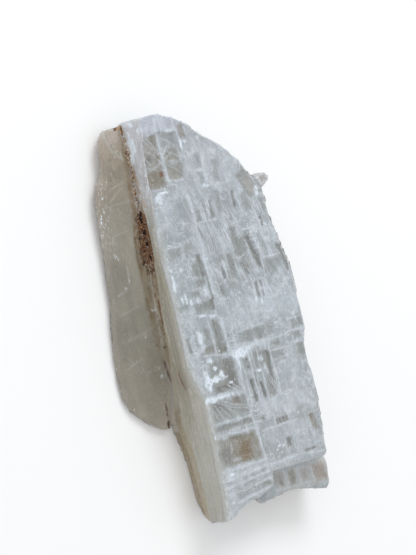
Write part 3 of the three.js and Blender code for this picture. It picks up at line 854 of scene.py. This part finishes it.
# How much redder and bluer the front is along the blade, as shares of its light
FRONT_TINTS = (
    (-95, (1.01, 1, 0.96)), (-50, (1.01, 1, 0.97)), (-10, (0.985, 1, 0.98)), (30, (0.985, 1, 0.98)),
    (60, (1.0, 1, 0.985)), (75, (1.015, 1, 0.97)), (88, (1.02, 1, 0.99)), (102, (1.03, 1, 1.03)),
)


def blend(colours, colour, share):
    """Mixes a tone, or one colour for each point, into the colours."""
    colour = TONES[colour] if isinstance(colour, str) else colour
    return colours + (colour - colours) * np.clip(share, 0, 1)[:, None]


def band_tones(y, bands):
    """The tone at each y, between those that are listed."""
    heights = [height for height, colour in bands]
    parts = np.array([colour for height, colour in bands]).T
    return np.stack([np.interp(y, heights, part) for part in parts], axis=1)


print("flank tones from y =", FLANK_BANDS[0][0], "to", FLANK_BANDS[-1][0], "mm")

# %% Panes in the front
PANE_WIDTH = 5.6
PANE_HEIGHT = 9.5
COLUMN_WAVER = (0.35, (9, 16, 50), 43)
ROW_WAVER = (0.2, (5, 8, 50), 45)
JOINT_GRAIN = (1, (3, 5, 50), 47)
JOINT_GAPS = (-0.2, 0.5)
JOINT_BESIDE = (0.5, 0.1)
JOINT_ABOVE = (0.6, 0.1)
SHIFT_SEED = 44
SHADE_SEED = 46


def panes(points):
    """A faint mosaic of upright panes: a shade from -1 to 1 for each, and the bright joints between."""
    turned = fanned(points)
    column = turned[:, 0] / PANE_WIDTH + layered(points, COLUMN_WAVER)
    whole_column = np.floor(column).astype(np.int64)
    nothing = np.zeros_like(whole_column)
    shift = lattice(np.stack([whole_column, nothing, nothing], axis=1), SHIFT_SEED)
    row = turned[:, 1] / PANE_HEIGHT + shift + layered(points, ROW_WAVER)
    whole_row = np.floor(row).astype(np.int64)
    shade = lattice(np.stack([whole_column, whole_row, nothing], axis=1), SHADE_SEED)
    beside = np.minimum(column - whole_column, whole_column + 1 - column) * PANE_WIDTH
    above = np.minimum(row - whole_row, whole_row + 1 - row) * PANE_HEIGHT
    joints = np.maximum(ramp(*JOINT_BESIDE, beside), ramp(*JOINT_ABOVE, above))
    return shade, joints * ramp(*JOINT_GAPS, layered(points, JOINT_GRAIN))


print("panes, mm:", PANE_WIDTH, "by", PANE_HEIGHT)

# %% Marks on the front
FRONT_CLOUD = (1, (6, 26, 50), 41)
PANE_SHADE = 0.3
MILKY_CLOUD = (0.1, 1.0)
MISTY_CLOUD = (-0.1, -1.0)
HAZE_SOFT = 0.6
FLAKE_SOFT = 0.4
WINDOW_STRENGTH = 0.9
JOINT_STRENGTH = 0.6
LEDGE_CALM = 0.5
WINDOW_CALM = 0.7
CRACK_RISE = 0.8
COMBED_HEAD = 0.12
COMBED_BELOW = 0.18
COMBED_BELOW_AT = ("y", 70, 55)
COMBED_MIDDLE = 0.6
COMBED_MIDDLE_AT = (("x", 16, 28), ("y", 62, 50), ("y", 2, 14))


def combed_share(points):
    """How combed the front is: least at the head, most in the middle of the right half."""
    below = COMBED_BELOW * fade(points, COMBED_BELOW_AT)
    return COMBED_HEAD + below + COMBED_MIDDLE * fade(points, *COMBED_MIDDLE_AT)


def front_marks(points, colours, on_front, ledge):
    """Colours, depth, wisps, fibres and flakes of the front: panes, haze, windows, then cracks on them."""
    seen = points.copy()
    seen[:, 0] += (points[:, 2] - THICKNESS) * math.tan(VIEW_TILT)
    rough = rough_edges(seen)
    shade, joints = panes(points)
    cloud = layered(fanned(points), FRONT_CLOUD) + PANE_SHADE * shade
    colours = blend(colours, "milk", on_front * ramp(*MILKY_CLOUD, cloud))
    colours = blend(colours, "mist", on_front * ramp(*MISTY_CLOUD, cloud))
    for haze in HAZES:
        colours = blend(colours, "milk", patch_share(rough, haze, HAZE_SOFT, "cloud") * on_front)
    depth = np.zeros(len(points))
    clear = np.zeros(len(points))
    for window in WINDOWS:
        share, bowl = window_share(rough, window)
        depth = np.maximum(depth, bowl * on_front * window[5])
        clear = np.maximum(clear, share * on_front)
        colours = blend(colours, window[6], share * on_front * WINDOW_STRENGTH)
    bright = JOINT_STRENGTH * joints * on_front * (1 - clear)
    for crack in BRIGHT_CRACKS:
        bright = np.maximum(bright, crack_share(rough, crack) * on_front)
    calm = 1 - LEDGE_CALM * ledge
    colours = blend(colours, colours * band_tones(points[:, 1], FRONT_TINTS), on_front)
    colours = blend(colours, "bright", bright * calm)
    # The white patches are flakes, with a few painted highlights among them
    flakes = np.zeros(len(points))
    for patch in WHITE_FLAKES_AND_HIGHLIGHTS:
        flakes = np.maximum(flakes, patch_share(rough, patch, FLAKE_SOFT) * on_front)
    depth = depth * (1 - CRACK_RISE * np.maximum(bright, flakes))
    wisps = on_front * (1 - WINDOW_CALM * clear) * calm
    return colours, depth, wisps, wisps * combed_share(points), flakes


print("least and most combed:", COMBED_HEAD, COMBED_HEAD + COMBED_BELOW + COMBED_MIDDLE)

# %% Marks on the left
LINE_BOOST = 1.4
DASH_SOFT = 0.8


def left_marks(points, colours, on_left):
    """Marks on the flank and side blade, placed as seen: x is measured across the picture."""
    seen = points.copy()
    seen[:, 0] = points[:, 0] * math.cos(VIEW_TILT) + points[:, 2] * math.sin(VIEW_TILT)
    rough = rough_edges(seen)
    for line in LEFT_LINES:
        colours = blend(colours, line[5], crack_share(rough, line) * on_left * line[6] * LINE_BOOST)
    for spot in LEFT_SPOTS:
        colours = blend(colours, spot[5], patch_share(rough, spot) * on_left)
    dashes = np.zeros(len(points))
    for patch in LEFT_DASHES:
        dashes = np.maximum(dashes, patch_share(rough, patch, DASH_SOFT) * on_left)
    return colours, dashes


print("lines on the left, times", LINE_BOOST)

# %% Broken faces
BROKEN_GREY = tone(192, 195, 198)
STRATA = ((1, (50, 50, 3.4), 51), (0.5, (9, 13, 4), 52))
DARK_STRATA = (0.05, 0.7)
DARK_STRENGTH = 0.8
DARK_AT = ("z", 26, 22)
PALE_STRATA = (0.25, 0.8)
PALE_STRENGTH = 0.6
KNOB_AT = (("x", 25, 28), ("y", -84, -87))
WALL_AT = (("x", 27, 30), ("y", -70, -73), ("z", 17, 20))
WALL_STRENGTH = 0.7


def foot_shares(points, broken):
    """Shares of the knob under the ledge and of the wall above it."""
    return broken * fade(points, *KNOB_AT), broken * fade(points, *WALL_AT)


def broken_tones(points, shares, colours):
    broken = shares["broken"]
    strata = layered(points, *STRATA)
    dark = ramp(*DARK_STRATA, -strata) * fade(points, DARK_AT)
    knob, wall = foot_shares(points, broken)
    colours = blend(colours, BROKEN_GREY, broken + shares["back"])
    colours = blend(colours, "slate", broken * dark * DARK_STRENGTH)
    colours = blend(colours, "white", broken * ramp(*PALE_STRATA, strata) * PALE_STRENGTH)
    colours = blend(colours, "ash", knob)
    return blend(colours, BROKEN_GREY, wall * WALL_STRENGTH)


print("strata, mm:", STRATA[0][1][2])

# %% Flank and side blade
FLANK_SHEETS = (1, (40, 60, 1.4), 42)
SHEET_EDGES = (0.1, 0.8)
SHEETS_AT = ("y", 66, 48)
SHEET_STRENGTH = 0.5
CREAM_AT = (("z", 16, 25), ("y", 60, 40))
CREAM_STRENGTH = 0.6
CREAM_DIP = 0.45
CREAM_DIP_AT = (("y", 10, 20), ("y", 44, 34))
LOW_BLADE_AT = (("z", 11, 9), ("y", -30, -44))
SIDE_CLOUDS = ((0.11, (7, 16, 20), 54), (0.08, (2.5, 6, 20), 55))
# Painted light: how much lighter the corner between the side blade and the flank is made, against the
# shade that falls in it
CORNER_PAINTED_LIGHT = 0.22
CORNER_INSIDE = (-8, -1)
CORNER_SIDE_AT = ("y", 60, 45)
CORNER_OVER_SEAM = (5, 0)
CORNER_FLANK_AT = (("y", 45, 30), ("y", -48, -40))
RIM_REACH = (3.5, 0.4)
RIM_STRENGTH = 0.2


def flank_tones(points, shares, colours):
    y = points[:, 1]
    flank = shares["flank"]
    creamy = CREAM_STRENGTH - CREAM_DIP * fade(points, *CREAM_DIP_AT)
    sheets = ramp(*SHEET_EDGES, layered(points, FLANK_SHEETS)) * fade(points, SHEETS_AT)
    colours = blend(colours, band_tones(y, FLANK_BANDS), flank)
    colours = blend(colours, "cream", flank * fade(points, *CREAM_AT) * creamy)
    colours = blend(colours, band_tones(y, BACK_BANDS), flank * fade(points, *LOW_BLADE_AT))
    return blend(colours, "sand", flank * sheets * SHEET_STRENGTH)


def side_tones(points, shares, colours):
    x, y, z = points.T
    side = shares["side"]
    # Painted light in the inner corner and on the flank just over the seam, where shade falls
    corner = side * ramp(*CORNER_INSIDE, x - along_strip(y, STRIP_X)) * fade(points, CORNER_SIDE_AT)
    over_seam = ramp(*CORNER_OVER_SEAM, z - along_strip(y, SEAM_Z))
    corner += shares["flank"] * over_seam * fade(points, *CORNER_FLANK_AT)
    colours = blend(colours, band_tones(y, SIDE_BANDS), side)
    colours = colours * (1 + side * layered(points, *SIDE_CLOUDS))[:, None]
    colours = colours * (1 + CORNER_PAINTED_LIGHT * corner)[:, None]
    return blend(colours, "shell", side * ramp(*RIM_REACH, x - along_strip(y, RIM_X)) * RIM_STRENGTH)


print("side blade tones from y =", SIDE_BANDS[0][0], "to", SIDE_BANDS[-1][0], "mm")

# %% Rust in the veil
STRIP_BROWN = tone(136, 119, 92)
STRIP_BOOST = 1.6
OCHRE_AT = ("y", 56, 62)
OCHRE_STRENGTH = 0.25
RUST_SPECKLE = (1, (0.9, 1.3, 0.9), 49)
DARK_SPECKLE = (0.0, 0.45)
PALE_SPECKLE = (0.1, 0.5)
PALE_SPECKLE_STRENGTH = 0.6
CRUSTED_AT = ("y", 30, 37)
CRUST_TOP_AT = ("y", 60, 55)


def rust_tones(points, shares, colours):
    rust = rust_share(points, shares)
    speckle = layered(points, RUST_SPECKLE)
    crusted = rust * fade(points, CRUSTED_AT)
    dark = crusted * ramp(*DARK_SPECKLE, speckle) * fade(points, CRUST_TOP_AT)
    colours = blend(colours, STRIP_BROWN, rust * STRIP_BOOST)
    colours = blend(colours, "ochre", rust * fade(points, OCHRE_AT) * OCHRE_STRENGTH)
    colours = blend(colours, "dark rust", dark)
    return blend(colours, "shell", crusted * ramp(*PALE_SPECKLE, -speckle) * PALE_SPECKLE_STRENGTH)


print("crust from y =", CRUSTED_AT[1], "to", CRUST_TOP_AT[1], "mm")

# %% Lit edge between front and flank
EDGE_Y = (-96.4, -81.6, -60, -44, -38, -32.5, -27, -21, -12.7, 10, 33, 55.4, 80, 92)
EDGE_X = (-2.2, 0, 2.1, 2.8, 2.4, 0.8, -1.2, -1.9, -1.5, -0.5, -0.8, 1, 3.8, 5)
EDGE_WAVER = (0.3, (2, 7, 2), 50)
EDGE_HALF = (0.8, 0.2)
EDGE_AT = (("z", 24, 26), ("y", 58, 48))
EDGE_LEAST_LIGHT = 0.25
EDGE_MORE_LIGHT = 0.5
EDGE_MORE_AT = ("y", -30, -12)
NEAR_EDGE = (4.5, 0)
NEAR_EDGE_AT = ("y", 60, 40)
NEAR_EDGE_STRENGTH = 0.6


def edge_shares(points):
    """Shares of the bright line along the edge, and of the creamy band beside it on the front."""
    edge_x = np.interp(points[:, 1], EDGE_Y, EDGE_X)
    from_edge = points[:, 0] - edge_x + layered(points, EDGE_WAVER)
    light = EDGE_LEAST_LIGHT + EDGE_MORE_LIGHT * fade(points, EDGE_MORE_AT)
    lit = ramp(*EDGE_HALF, abs(from_edge)) * fade(points, *EDGE_AT) * light
    return lit, ramp(*NEAR_EDGE, from_edge) * fade(points, NEAR_EDGE_AT) * NEAR_EDGE_STRENGTH


print(len(EDGE_Y), "places along the edge")

# %% All marks of the veil
# Painted light on the ledge at the foot of the wall above it, against the wall's shade
WALL_FOOT_PAINTED_LIGHT = 0.3
WALL_FOOT_LIGHT_AT = ("y", -86, -79)
BROKEN_WISPS = 0.8
FOOT_CALM = 0.8
FLANK_WISPS = 0.2
HEAD_WISPS = 0.8
HEAD_WISPS_AT = ("y", 46, 62)
FLANK_FIBRES = 0.2
HEAD_FLAKES = (1, (2.4, 4, 2.4), 53)
HEAD_FLAKES_AT = ("y", 60, 72)
HEAD_FLAKES_FROM = (0.1, 0.5)
RIM_DASHES = 0.36
RIM_DASHES_AT = (("y", 36, 48), ("y", 84, 76))
RIM_DASHES_REACH = (8, 3)
LEFT_GLINTS = 0.1
FRONT_GLINTS = 0.2


def veil_marks(points, shares):
    """What the veil's material needs at each point, and how deep the windows are there."""
    flank, side = shares["flank"], shares["side"]
    on_front = np.maximum(shares["front"], shares["ledge"])
    colours = np.tile(TONES["frost"], (len(points), 1))
    # Tones are laid from the back forwards, so the front's marks come last
    for face_tones in (broken_tones, flank_tones, side_tones, rust_tones):
        colours = face_tones(points, shares, colours)
    colours, left_dashes = left_marks(points, colours, flank + side)
    lit_edge, near_edge = edge_shares(points)
    colours = blend(colours, "bright", lit_edge)
    colours = blend(colours, "pearl", shares["bud"])
    colours = blend(colours, "rose", shares["bud hollow"])
    colours, depth, wisps, fibres, flakes = front_marks(points, colours, on_front, shares["ledge"])
    # Painted light: the ledge is lightened where the wall's shade falls on it
    colours = colours * (1 + WALL_FOOT_PAINTED_LIGHT * shares["ledge"] * fade(points, WALL_FOOT_LIGHT_AT))[:, None]
    colours = blend(colours, "cream", shares["front"] * near_edge * (1 - flakes))
    calm = 1 - FOOT_CALM * np.maximum(*foot_shares(points, shares["broken"]))
    sheets = BROKEN_WISPS * shares["broken"] * (1 - shares["bud"]) * calm
    cloudy_head = flank * (FLANK_WISPS + HEAD_WISPS * fade(points, HEAD_WISPS_AT))
    frosty = ramp(*HEAD_FLAKES_FROM, layered(points, HEAD_FLAKES)) * fade(points, HEAD_FLAKES_AT)
    from_rim = points[:, 0] - along_strip(points[:, 1], RIM_X)
    bright_rim = RIM_DASHES * side * fade(points, *RIM_DASHES_AT) * ramp(*RIM_DASHES_REACH, from_rim)
    few = np.maximum(LEFT_GLINTS * (side + flank), FRONT_GLINTS * on_front)
    return {
        "veil_colour": colours,
        "wisps": np.maximum(wisps, sheets + cloudy_head),
        "fibres": np.maximum(fibres, sheets + FLANK_FIBRES * flank),
        "flakes": np.maximum(flakes, flank * frosty),
        "glints": np.maximum.reduce([bright_rim, left_dashes, few]),
    }, depth


print("dashes along the rim from y =", RIM_DASHES_AT[0][1], "to", RIM_DASHES_AT[1][1], "mm")

# %% Milky veil
VEIL_VOXEL = 1.08
VEIL_WEAR = 2
FRONT_INSET = 0.4
OTHER_INSET = 0.15
WINDOW_SINK = 0.2
RIM_FILL = 0.35
RIM_SHARPNESS = 4

veil = even_copy("milky_veil", VEIL_VOXEL, VEIL_WEAR)
refine_seen(veil)
places, normals = read_points(veil)
shares = face_shares(places, normals)
heights = relief(places, shares)
marks, depth = veil_marks(places, shares)
for name, values in marks.items():
    write_values(veil, name, values)
write_values(veil, "grain_place", streak_places(places, normals))
inset = OTHER_INSET + (FRONT_INSET - OTHER_INSET) * np.maximum(shares["front"], shares["side"])
inset -= RIM_FILL * np.minimum(1, RIM_SHARPNESS * shares["front"] * shares["broken"])
sunk = places + normals * (heights - inset)[:, None]
sunk[:, 2] -= WINDOW_SINK * depth
write_points(veil, on_table(sunk))
veil.data.shade_smooth()
print("milky veil:", len(veil.data.polygons), "faces")
print("deepest window, mm:", (WINDOW_SINK * depth.max()).round(1))

# %% [markdown]
# ## Building shaders in code
# Small helpers add a node, set its plain values and link its sockets, so a material reads as a list of
# what feeds what. Streaks are used by more than one material, so they are a node group.

# %% Node helpers
def add(tree, kind, inputs=(), **settings):
    """A new node: settings are its own choices, inputs its sockets' values or what links to them."""
    made = tree.nodes.new(kind)
    for name, value in settings.items():
        setattr(made, name, value)
    for name, value in dict(inputs).items():
        if isinstance(value, bpy.types.NodeSocket):
            tree.links.new(value, made.inputs[name])
        else:
            made.inputs[name].default_value = value
    return made


def stored(tree, name, output="Fac"):
    """A value that the mesh carries for each point."""
    return add(tree, "ShaderNodeAttribute", attribute_name=name).outputs[output]


def sums(tree, operation, *values):
    """One step of arithmetic."""
    return add(tree, "ShaderNodeMath", dict(enumerate(values)), operation=operation).outputs[0]


def remap(tree, value, before=(0.0, 1.0), after=(0.0, 1.0)):
    """Stretches one range of values to another, and stops at its ends."""
    ends = {"From Min": before[0], "From Max": before[1], "To Min": after[0], "To Max": after[1]}
    return add(tree, "ShaderNodeMapRange", {"Value": value, **ends}).outputs[0]


def mix(tree, share, under, over):
    """Lays one colour over another by this share."""
    return add(tree, "ShaderNodeMix", {"Factor": share, 6: under, 7: over}, data_type="RGBA").outputs[2]


print("node helpers:", [helper.__name__ for helper in (add, stored, sums, remap, mix)])

# %% Streaks along the blade
STREAK_SIZES = {"Width": 1.0, "Length": 20.0, "Detail": 4.0, "Thin": 0.05}
STREAK_NOISE = {"Scale": 1.0, "Roughness": 0.6, "Distortion": 0.4}
STREAK_MEAN = 0.5


def streak_group():
    """Noise drawn out along the blade, Width by Length in mm, and thin Lines where it crosses its mean."""
    tree = bpy.data.node_groups.new("streaks", "ShaderNodeTree")
    for label, value in STREAK_SIZES.items():
        socket = tree.interface.new_socket(label, in_out="INPUT", socket_type="NodeSocketFloat")
        socket.default_value = value
    for label in ("Streak", "Line"):
        tree.interface.new_socket(label, in_out="OUTPUT", socket_type="NodeSocketFloat")
    given = tree.nodes.new("NodeGroupInput").outputs
    result = tree.nodes.new("NodeGroupOutput").inputs
    place = stored(tree, "grain_place", "Vector")
    size = add(tree, "ShaderNodeCombineXYZ", {0: given["Width"], 1: given["Length"], 2: given["Width"]})
    drawn = add(tree, "ShaderNodeVectorMath", {0: place, 1: size.outputs[0]}, operation="DIVIDE")
    inputs = {"Vector": drawn.outputs[0], "Detail": given["Detail"], **STREAK_NOISE}
    noise = add(tree, "ShaderNodeTexNoise", inputs).outputs["Fac"]
    away = sums(tree, "ABSOLUTE", sums(tree, "SUBTRACT", noise, STREAK_MEAN))
    line = remap(tree, away, (0.0, given["Thin"]), (1.0, 0.0))
    tree.links.new(noise, result["Streak"])
    tree.links.new(line, result["Line"])
    return tree


streaks = streak_group()


def use_streaks(tree, *sizes):
    """The group's outputs, for a width, a length, a detail and perhaps a thinness."""
    made = add(tree, "ShaderNodeGroup", node_tree=streaks)
    for name, value in zip(STREAK_SIZES, sizes):
        made.inputs[name].default_value = value
    return made.outputs


print("groups:", [group.name for group in bpy.data.node_groups])

# %% [markdown]
# ## Clear crystal material
# Gypsum's index is 1.52. The skin is plain glass. Frosty places are rougher, fine streaks stand up as
# bumps, and rust tints what passes through.

# %% Clear crystal material
GYPSUM_IOR = 1.52
CLEAR = (1, 1, 1, 1)
RUST_TINT = (0.8, 0.66, 0.46, 1)
FINE_STREAKS = (0.9, 7.0, 5.0)
SKIN_ROUGHNESS = (0.1, 0.55)
BUMP_STRENGTH = 0.12
BUMP_HEIGHT = 0.3


def crystal_material():
    glass = {"IOR": GYPSUM_IOR, "Transmission Weight": 1.0}
    material, tree, shader = new_material("clear selenite", glass)
    fine = use_streaks(tree, *FINE_STREAKS)["Streak"]
    tint = mix(tree, stored(tree, "rust"), CLEAR, RUST_TINT)
    rough = remap(tree, sums(tree, "MULTIPLY", stored(tree, "frost"), fine), after=SKIN_ROUGHNESS)
    inputs = {"Height": fine, "Strength": BUMP_STRENGTH, "Distance": BUMP_HEIGHT * MM}
    bump = add(tree, "ShaderNodeBump", inputs).outputs[0]
    for socket, value in (("Base Color", tint), ("Roughness", rough), ("Normal", bump)):
        tree.links.new(value, shader.inputs[socket])
    return material


crystal.data.materials.append(crystal_material())
print("material:", crystal.data.materials[0].name)

# %% [markdown]
# ## Veil material
# The veil is soft: light enters it and comes out a few millimetres away, which fills the windows with
# light. Over the colour of its faces lie streaks of light and dark along the blade, thin white wisps,
# long ones along the fibres and short ones across them, torn white flakes and small bright dashes.

# %% Wisps, flakes and glints of the veil
WISPS = (
    # Where they are, width and length of the noise they follow in mm, its detail, thinness and strength
    ("fibres", 1.7, 34.0, 1.0, 0.03, 1.0),
    ("fibres", 0.9, 18.0, 1.0, 0.045, 1.0),
    ("wisps", 12.0, 3.2, 2.0, 0.016, 1.0),
    ("wisps", 4.0, 7.0, 3.0, 0.016, 0.9),
    ("wisps", 2.0, 3.0, 4.0, 0.02, 0.7),
)
WISP_PATCH_WIDER = 4.0
WISP_PATCH_LONGER = 8.0
WISP_PATCH_DETAIL = 2.0
WISP_PATCHES = (0.44, 0.6)
FUZZ_STREAKS = (3.4, 5.0, 7.0)
FUZZ_FROM = (0.49, 0.68)
FUZZ_SHARE = (0.0, 0.5)
TORN_STREAKS = (0.8, 1.5, 3.0)
TORN_FROM = (0.36, 0.52)
TORN_SHARE = (0.25, 1.0)
DASH_STREAKS = (0.38, 2.2, 1.0)
DASH_FROM = (0.69, 0.75)
DASH_DENSER = 0.2
BOLD_FROM = (0.0, 0.5)


def wisp_share(tree):
    """Thin broken lines, and a fuzz between them."""
    fuzz = remap(tree, use_streaks(tree, *FUZZ_STREAKS)["Streak"], FUZZ_FROM, FUZZ_SHARE)
    wisp = sums(tree, "MULTIPLY", stored(tree, "wisps"), fuzz)
    for name, width, length, detail, thin, strength in WISPS:
        line = use_streaks(tree, width, length, detail, thin)["Line"]
        patch_size = (WISP_PATCH_WIDER + width, WISP_PATCH_LONGER + length / 2, WISP_PATCH_DETAIL)
        patch = remap(tree, use_streaks(tree, *patch_size)["Streak"], WISP_PATCHES, (0.0, strength))
        where = sums(tree, "MULTIPLY", stored(tree, name), patch)
        wisp = sums(tree, "MAXIMUM", wisp, sums(tree, "MULTIPLY", line, where))
    return wisp


def flake_share(tree):
    """White flakes with torn edges, a few of them painted highlights."""
    torn = remap(tree, use_streaks(tree, *TORN_STREAKS)["Streak"], TORN_FROM, TORN_SHARE)
    return sums(tree, "MULTIPLY", stored(tree, "flakes"), torn)


def glint_share(tree):
    """Short bright dashes, denser and bolder where there are more glints."""
    glints = stored(tree, "glints")
    streak = use_streaks(tree, *DASH_STREAKS)["Streak"]
    dash = remap(tree, sums(tree, "MULTIPLY_ADD", glints, DASH_DENSER, streak), DASH_FROM)
    return sums(tree, "MULTIPLY", remap(tree, glints, BOLD_FROM), dash)


print(len(WISPS), "kinds of wisp")

# %% Veil material
WISP_WHITE = (*tone(220, 226, 233), 1)
FLAKE_AND_GLINT_WHITE = (*tone(224, 233, 242), 1)
VEIL_DIM = 0.885
STREAK_RANGE = (0.3, 0.7)
BROAD_STREAKS = (2.6, 11.0, 3.0)
BROAD_LIGHT = (0.95 * VEIL_DIM, 1.05 * VEIL_DIM)
SHADOW_STREAKS = (1.5, 26.0, 2.0, 0.05)
SHADOW_LIGHT = (1.0, 0.86)
MOTTLE_STREAKS = (0.7, 1.3, 4.0)
MOTTLE_LIGHT = (0.9, 1.1)
SOFT_RADIUS = 1.6
SOFT_LOOK = {
    "Roughness": 0.8,
    "Specular IOR Level": 0.1,
    "Subsurface Weight": 0.4,
    "Subsurface Radius": (1.0, 0.95, 0.9),
    "Subsurface Scale": SOFT_RADIUS * MM,
}


def veil_light(tree):
    """How light the veil is: broad streaks, dark lines between the fibres, and a fine mottle."""
    broad = remap(tree, use_streaks(tree, *BROAD_STREAKS)["Streak"], STREAK_RANGE, BROAD_LIGHT)
    shadow = sums(tree, "MULTIPLY", use_streaks(tree, *SHADOW_STREAKS)["Line"], stored(tree, "fibres"))
    dark = remap(tree, shadow, after=SHADOW_LIGHT)
    mottle = remap(tree, use_streaks(tree, *MOTTLE_STREAKS)["Streak"], STREAK_RANGE, MOTTLE_LIGHT)
    return sums(tree, "MULTIPLY", sums(tree, "MULTIPLY", broad, dark), mottle)


def veil_material():
    material, tree, shader = new_material("milky veil", SOFT_LOOK)
    inputs = {0: stored(tree, "veil_colour", "Color"), "Scale": veil_light(tree)}
    lit = add(tree, "ShaderNodeVectorMath", inputs, operation="SCALE").outputs[0]
    whitened = mix(tree, wisp_share(tree), lit, WISP_WHITE)
    flaked = mix(tree, flake_share(tree), whitened, FLAKE_AND_GLINT_WHITE)
    # Painted highlights: the glints are white dashes laid into the veil's colour
    glinting = mix(tree, glint_share(tree), flaked, FLAKE_AND_GLINT_WHITE)
    tree.links.new(glinting, shader.inputs["Base Color"])
    return material


veil.data.materials.append(veil_material())
print("material:", veil.data.materials[0].name)

# %% [markdown]
# ## Rust in the seam
# Iron-stained grains sit in the seam between the two blades: a thick brown crust with dark pits near the
# middle, thinning to scattered specks towards the head and the foot. Each grain is a small ball pushed
# out of round, as real geometry, because its shadow shows. They are placed on the strip between the inner
# edge of the side blade and the flank, and dropped onto the clear skin.

# %% Where the crust sits
CRUST_RUNS = (
    # From y, to y, from and to across the strip, number, least and most radius, and odds of each tone
    (33, 57, 0.25, 1.08, 900, 0.16, 0.46, (0.06, 0.52, 0.35, 0.04, 0.03)),
    (33, 58, 0.45, 0.75, 200, 0.2, 0.5, (0.1, 0.55, 0.3, 0.03, 0.02)),
    (28, 34, 0.35, 1.05, 100, 0.14, 0.36, (0.1, 0.5, 0.35, 0.02, 0.03)),
    (57, 97, 0.35, 0.75, 220, 0.14, 0.4, (0.03, 0.32, 0.23, 0.2, 0.22)),
    (97, 101, 0.2, 0.7, 60, 0.16, 0.4, (0.1, 0.14, 0.3, 0.36, 0.1)),
    (-8, 33, 0.5, 1.0, 120, 0.1, 0.28, (0.2, 0.3, 0.25, 0.05, 0.2)),
)
CRUST_TONES = (
    tone(36, 24, 19), tone(112, 80, 60), tone(140, 110, 88), tone(168, 130, 78), tone(206, 202, 196),
)
# Painted shade: clusters of near-black grains stand for the shadow in the crust's pits
PIT_SHADE_GRAINS = (
    # y, and share across the strip
    (57, 0.7), (55.2, 0.55), (54, 0.65), (48.3, 0.7), (42.6, 0.75), (36, 0.85),
)
PIT_SHADE_TONE = 0
PIT_LUMPS = 9
PIT_REACH = 0.7
PIT_SPREAD = 0.06
PIT_RADIUS = (0.5, 0.85)
STRIP_SAG = 0.2


def strip_point(y, share):
    """A point on the stained strip, from its inner edge (0) to the flank (1), sagging into the seam."""
    inner = np.array((along_strip(y, STRIP_X), y, along_strip(y, STRIP_Z)))
    outer = np.array((np.interp(y, FLANK_Y, FLANK_X), y, along_strip(y, SEAM_Z)))
    chord = outer - inner
    into_seam = np.array((chord[2], 0, -chord[0]))
    return inner + chord * share + into_seam * STRIP_SAG * 4 * share * (1 - share)


def crust_lumps(draw):
    """Where each lump sits (y and share across the strip), its radius and its tone."""
    for low, high, near, far, number, small, large, odds in CRUST_RUNS:
        for _ in range(number):
            kind = draw.choice(len(CRUST_TONES), p=odds)
            yield draw.uniform(low, high), draw.uniform(near, far), draw.uniform(small, large), kind
    # Near-black grains in clusters, painted shade for the pits
    for y, share in PIT_SHADE_GRAINS:
        for _ in range(PIT_LUMPS):
            aside = draw.uniform(-PIT_REACH, PIT_REACH)
            spread = draw.uniform(-PIT_SPREAD, PIT_SPREAD)
            yield y + aside, share + spread, draw.uniform(*PIT_RADIUS), PIT_SHADE_TONE


print(sum(run[4] for run in CRUST_RUNS), "grains and", len(PIT_SHADE_GRAINS), "pits")

# %% Iron crust
GRAIN_SEED = 7
BALL_CUTS = 2
LUMPY = (0.4, (0.7, 0.7, 0.7), 61)
LUMPY_REACH = 50
LEAST_SQUASH = (0.5, 0.7, 0.5)
MOST_SQUASH = (1.0, 1.6, 1.0)


def unit_ball():
    """Points and triangles of a ball of radius 1."""
    ball = bmesh.new()
    bmesh.ops.create_icosphere(ball, subdivisions=BALL_CUTS, radius=1)
    shape = np.array([vertex.co for vertex in ball.verts])
    faces = np.array([[vertex.index for vertex in face.verts] for face in ball.faces])
    ball.free()
    return shape, faces


def iron_crust():
    draw = np.random.default_rng(GRAIN_SEED)
    shape, faces = unit_ball()
    skin = BVHTree.FromObject(crystal, bpy.context.evaluated_depsgraph_get())
    points, polygons, colours = [], [], []
    for y, share, radius, kind in crust_lumps(draw):
        nearest = skin.find_nearest(Vector(to_scene(strip_point(y, share))))[0]
        lumpy = shape * (1 + layered(shape + draw.uniform(0, LUMPY_REACH, 3), LUMPY))[:, None]
        lump = lumpy * draw.uniform(LEAST_SQUASH, MOST_SQUASH) * radius
        polygons.append(faces + len(points) * len(shape))
        points.append(lump * MM + np.array(nearest))
        colours.append(np.tile(CRUST_TONES[kind], (len(shape), 1)))
    mesh = bpy.data.meshes.new("iron_crust")
    mesh.from_pydata(np.concatenate(points).tolist(), [], np.concatenate(polygons).tolist())
    crust = bpy.data.objects.new("iron_crust", mesh)
    scene.collection.objects.link(crust)
    write_values(crust, "crust_colour", np.concatenate(colours))
    mesh.shade_smooth()
    return crust


def crust_material():
    material, tree, shader = new_material("iron crust", {"Roughness": 0.9, "Specular IOR Level": 0.2})
    tree.links.new(stored(tree, "crust_colour", "Color"), shader.inputs["Base Color"])
    return material


crust = iron_crust()
crust.data.materials.append(crust_material())
print("iron crust:", len(crust.data.polygons), "faces")

# %% [markdown]
# ## Put together
# The pieces stand for the one solid and ride on its body. Light that reaches the veil passes straight
# through the clear skin, so the skin casts no shadow of its own.

# %% Ride and finish
crystal.visible_shadow = False
crystal.visible_diffuse = False
for piece, slot_name in ((crystal, "selenite"), (veil, "milky_veil"), (crust, "iron_crust")):
    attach(piece, "root")
    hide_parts("selenite_blade")
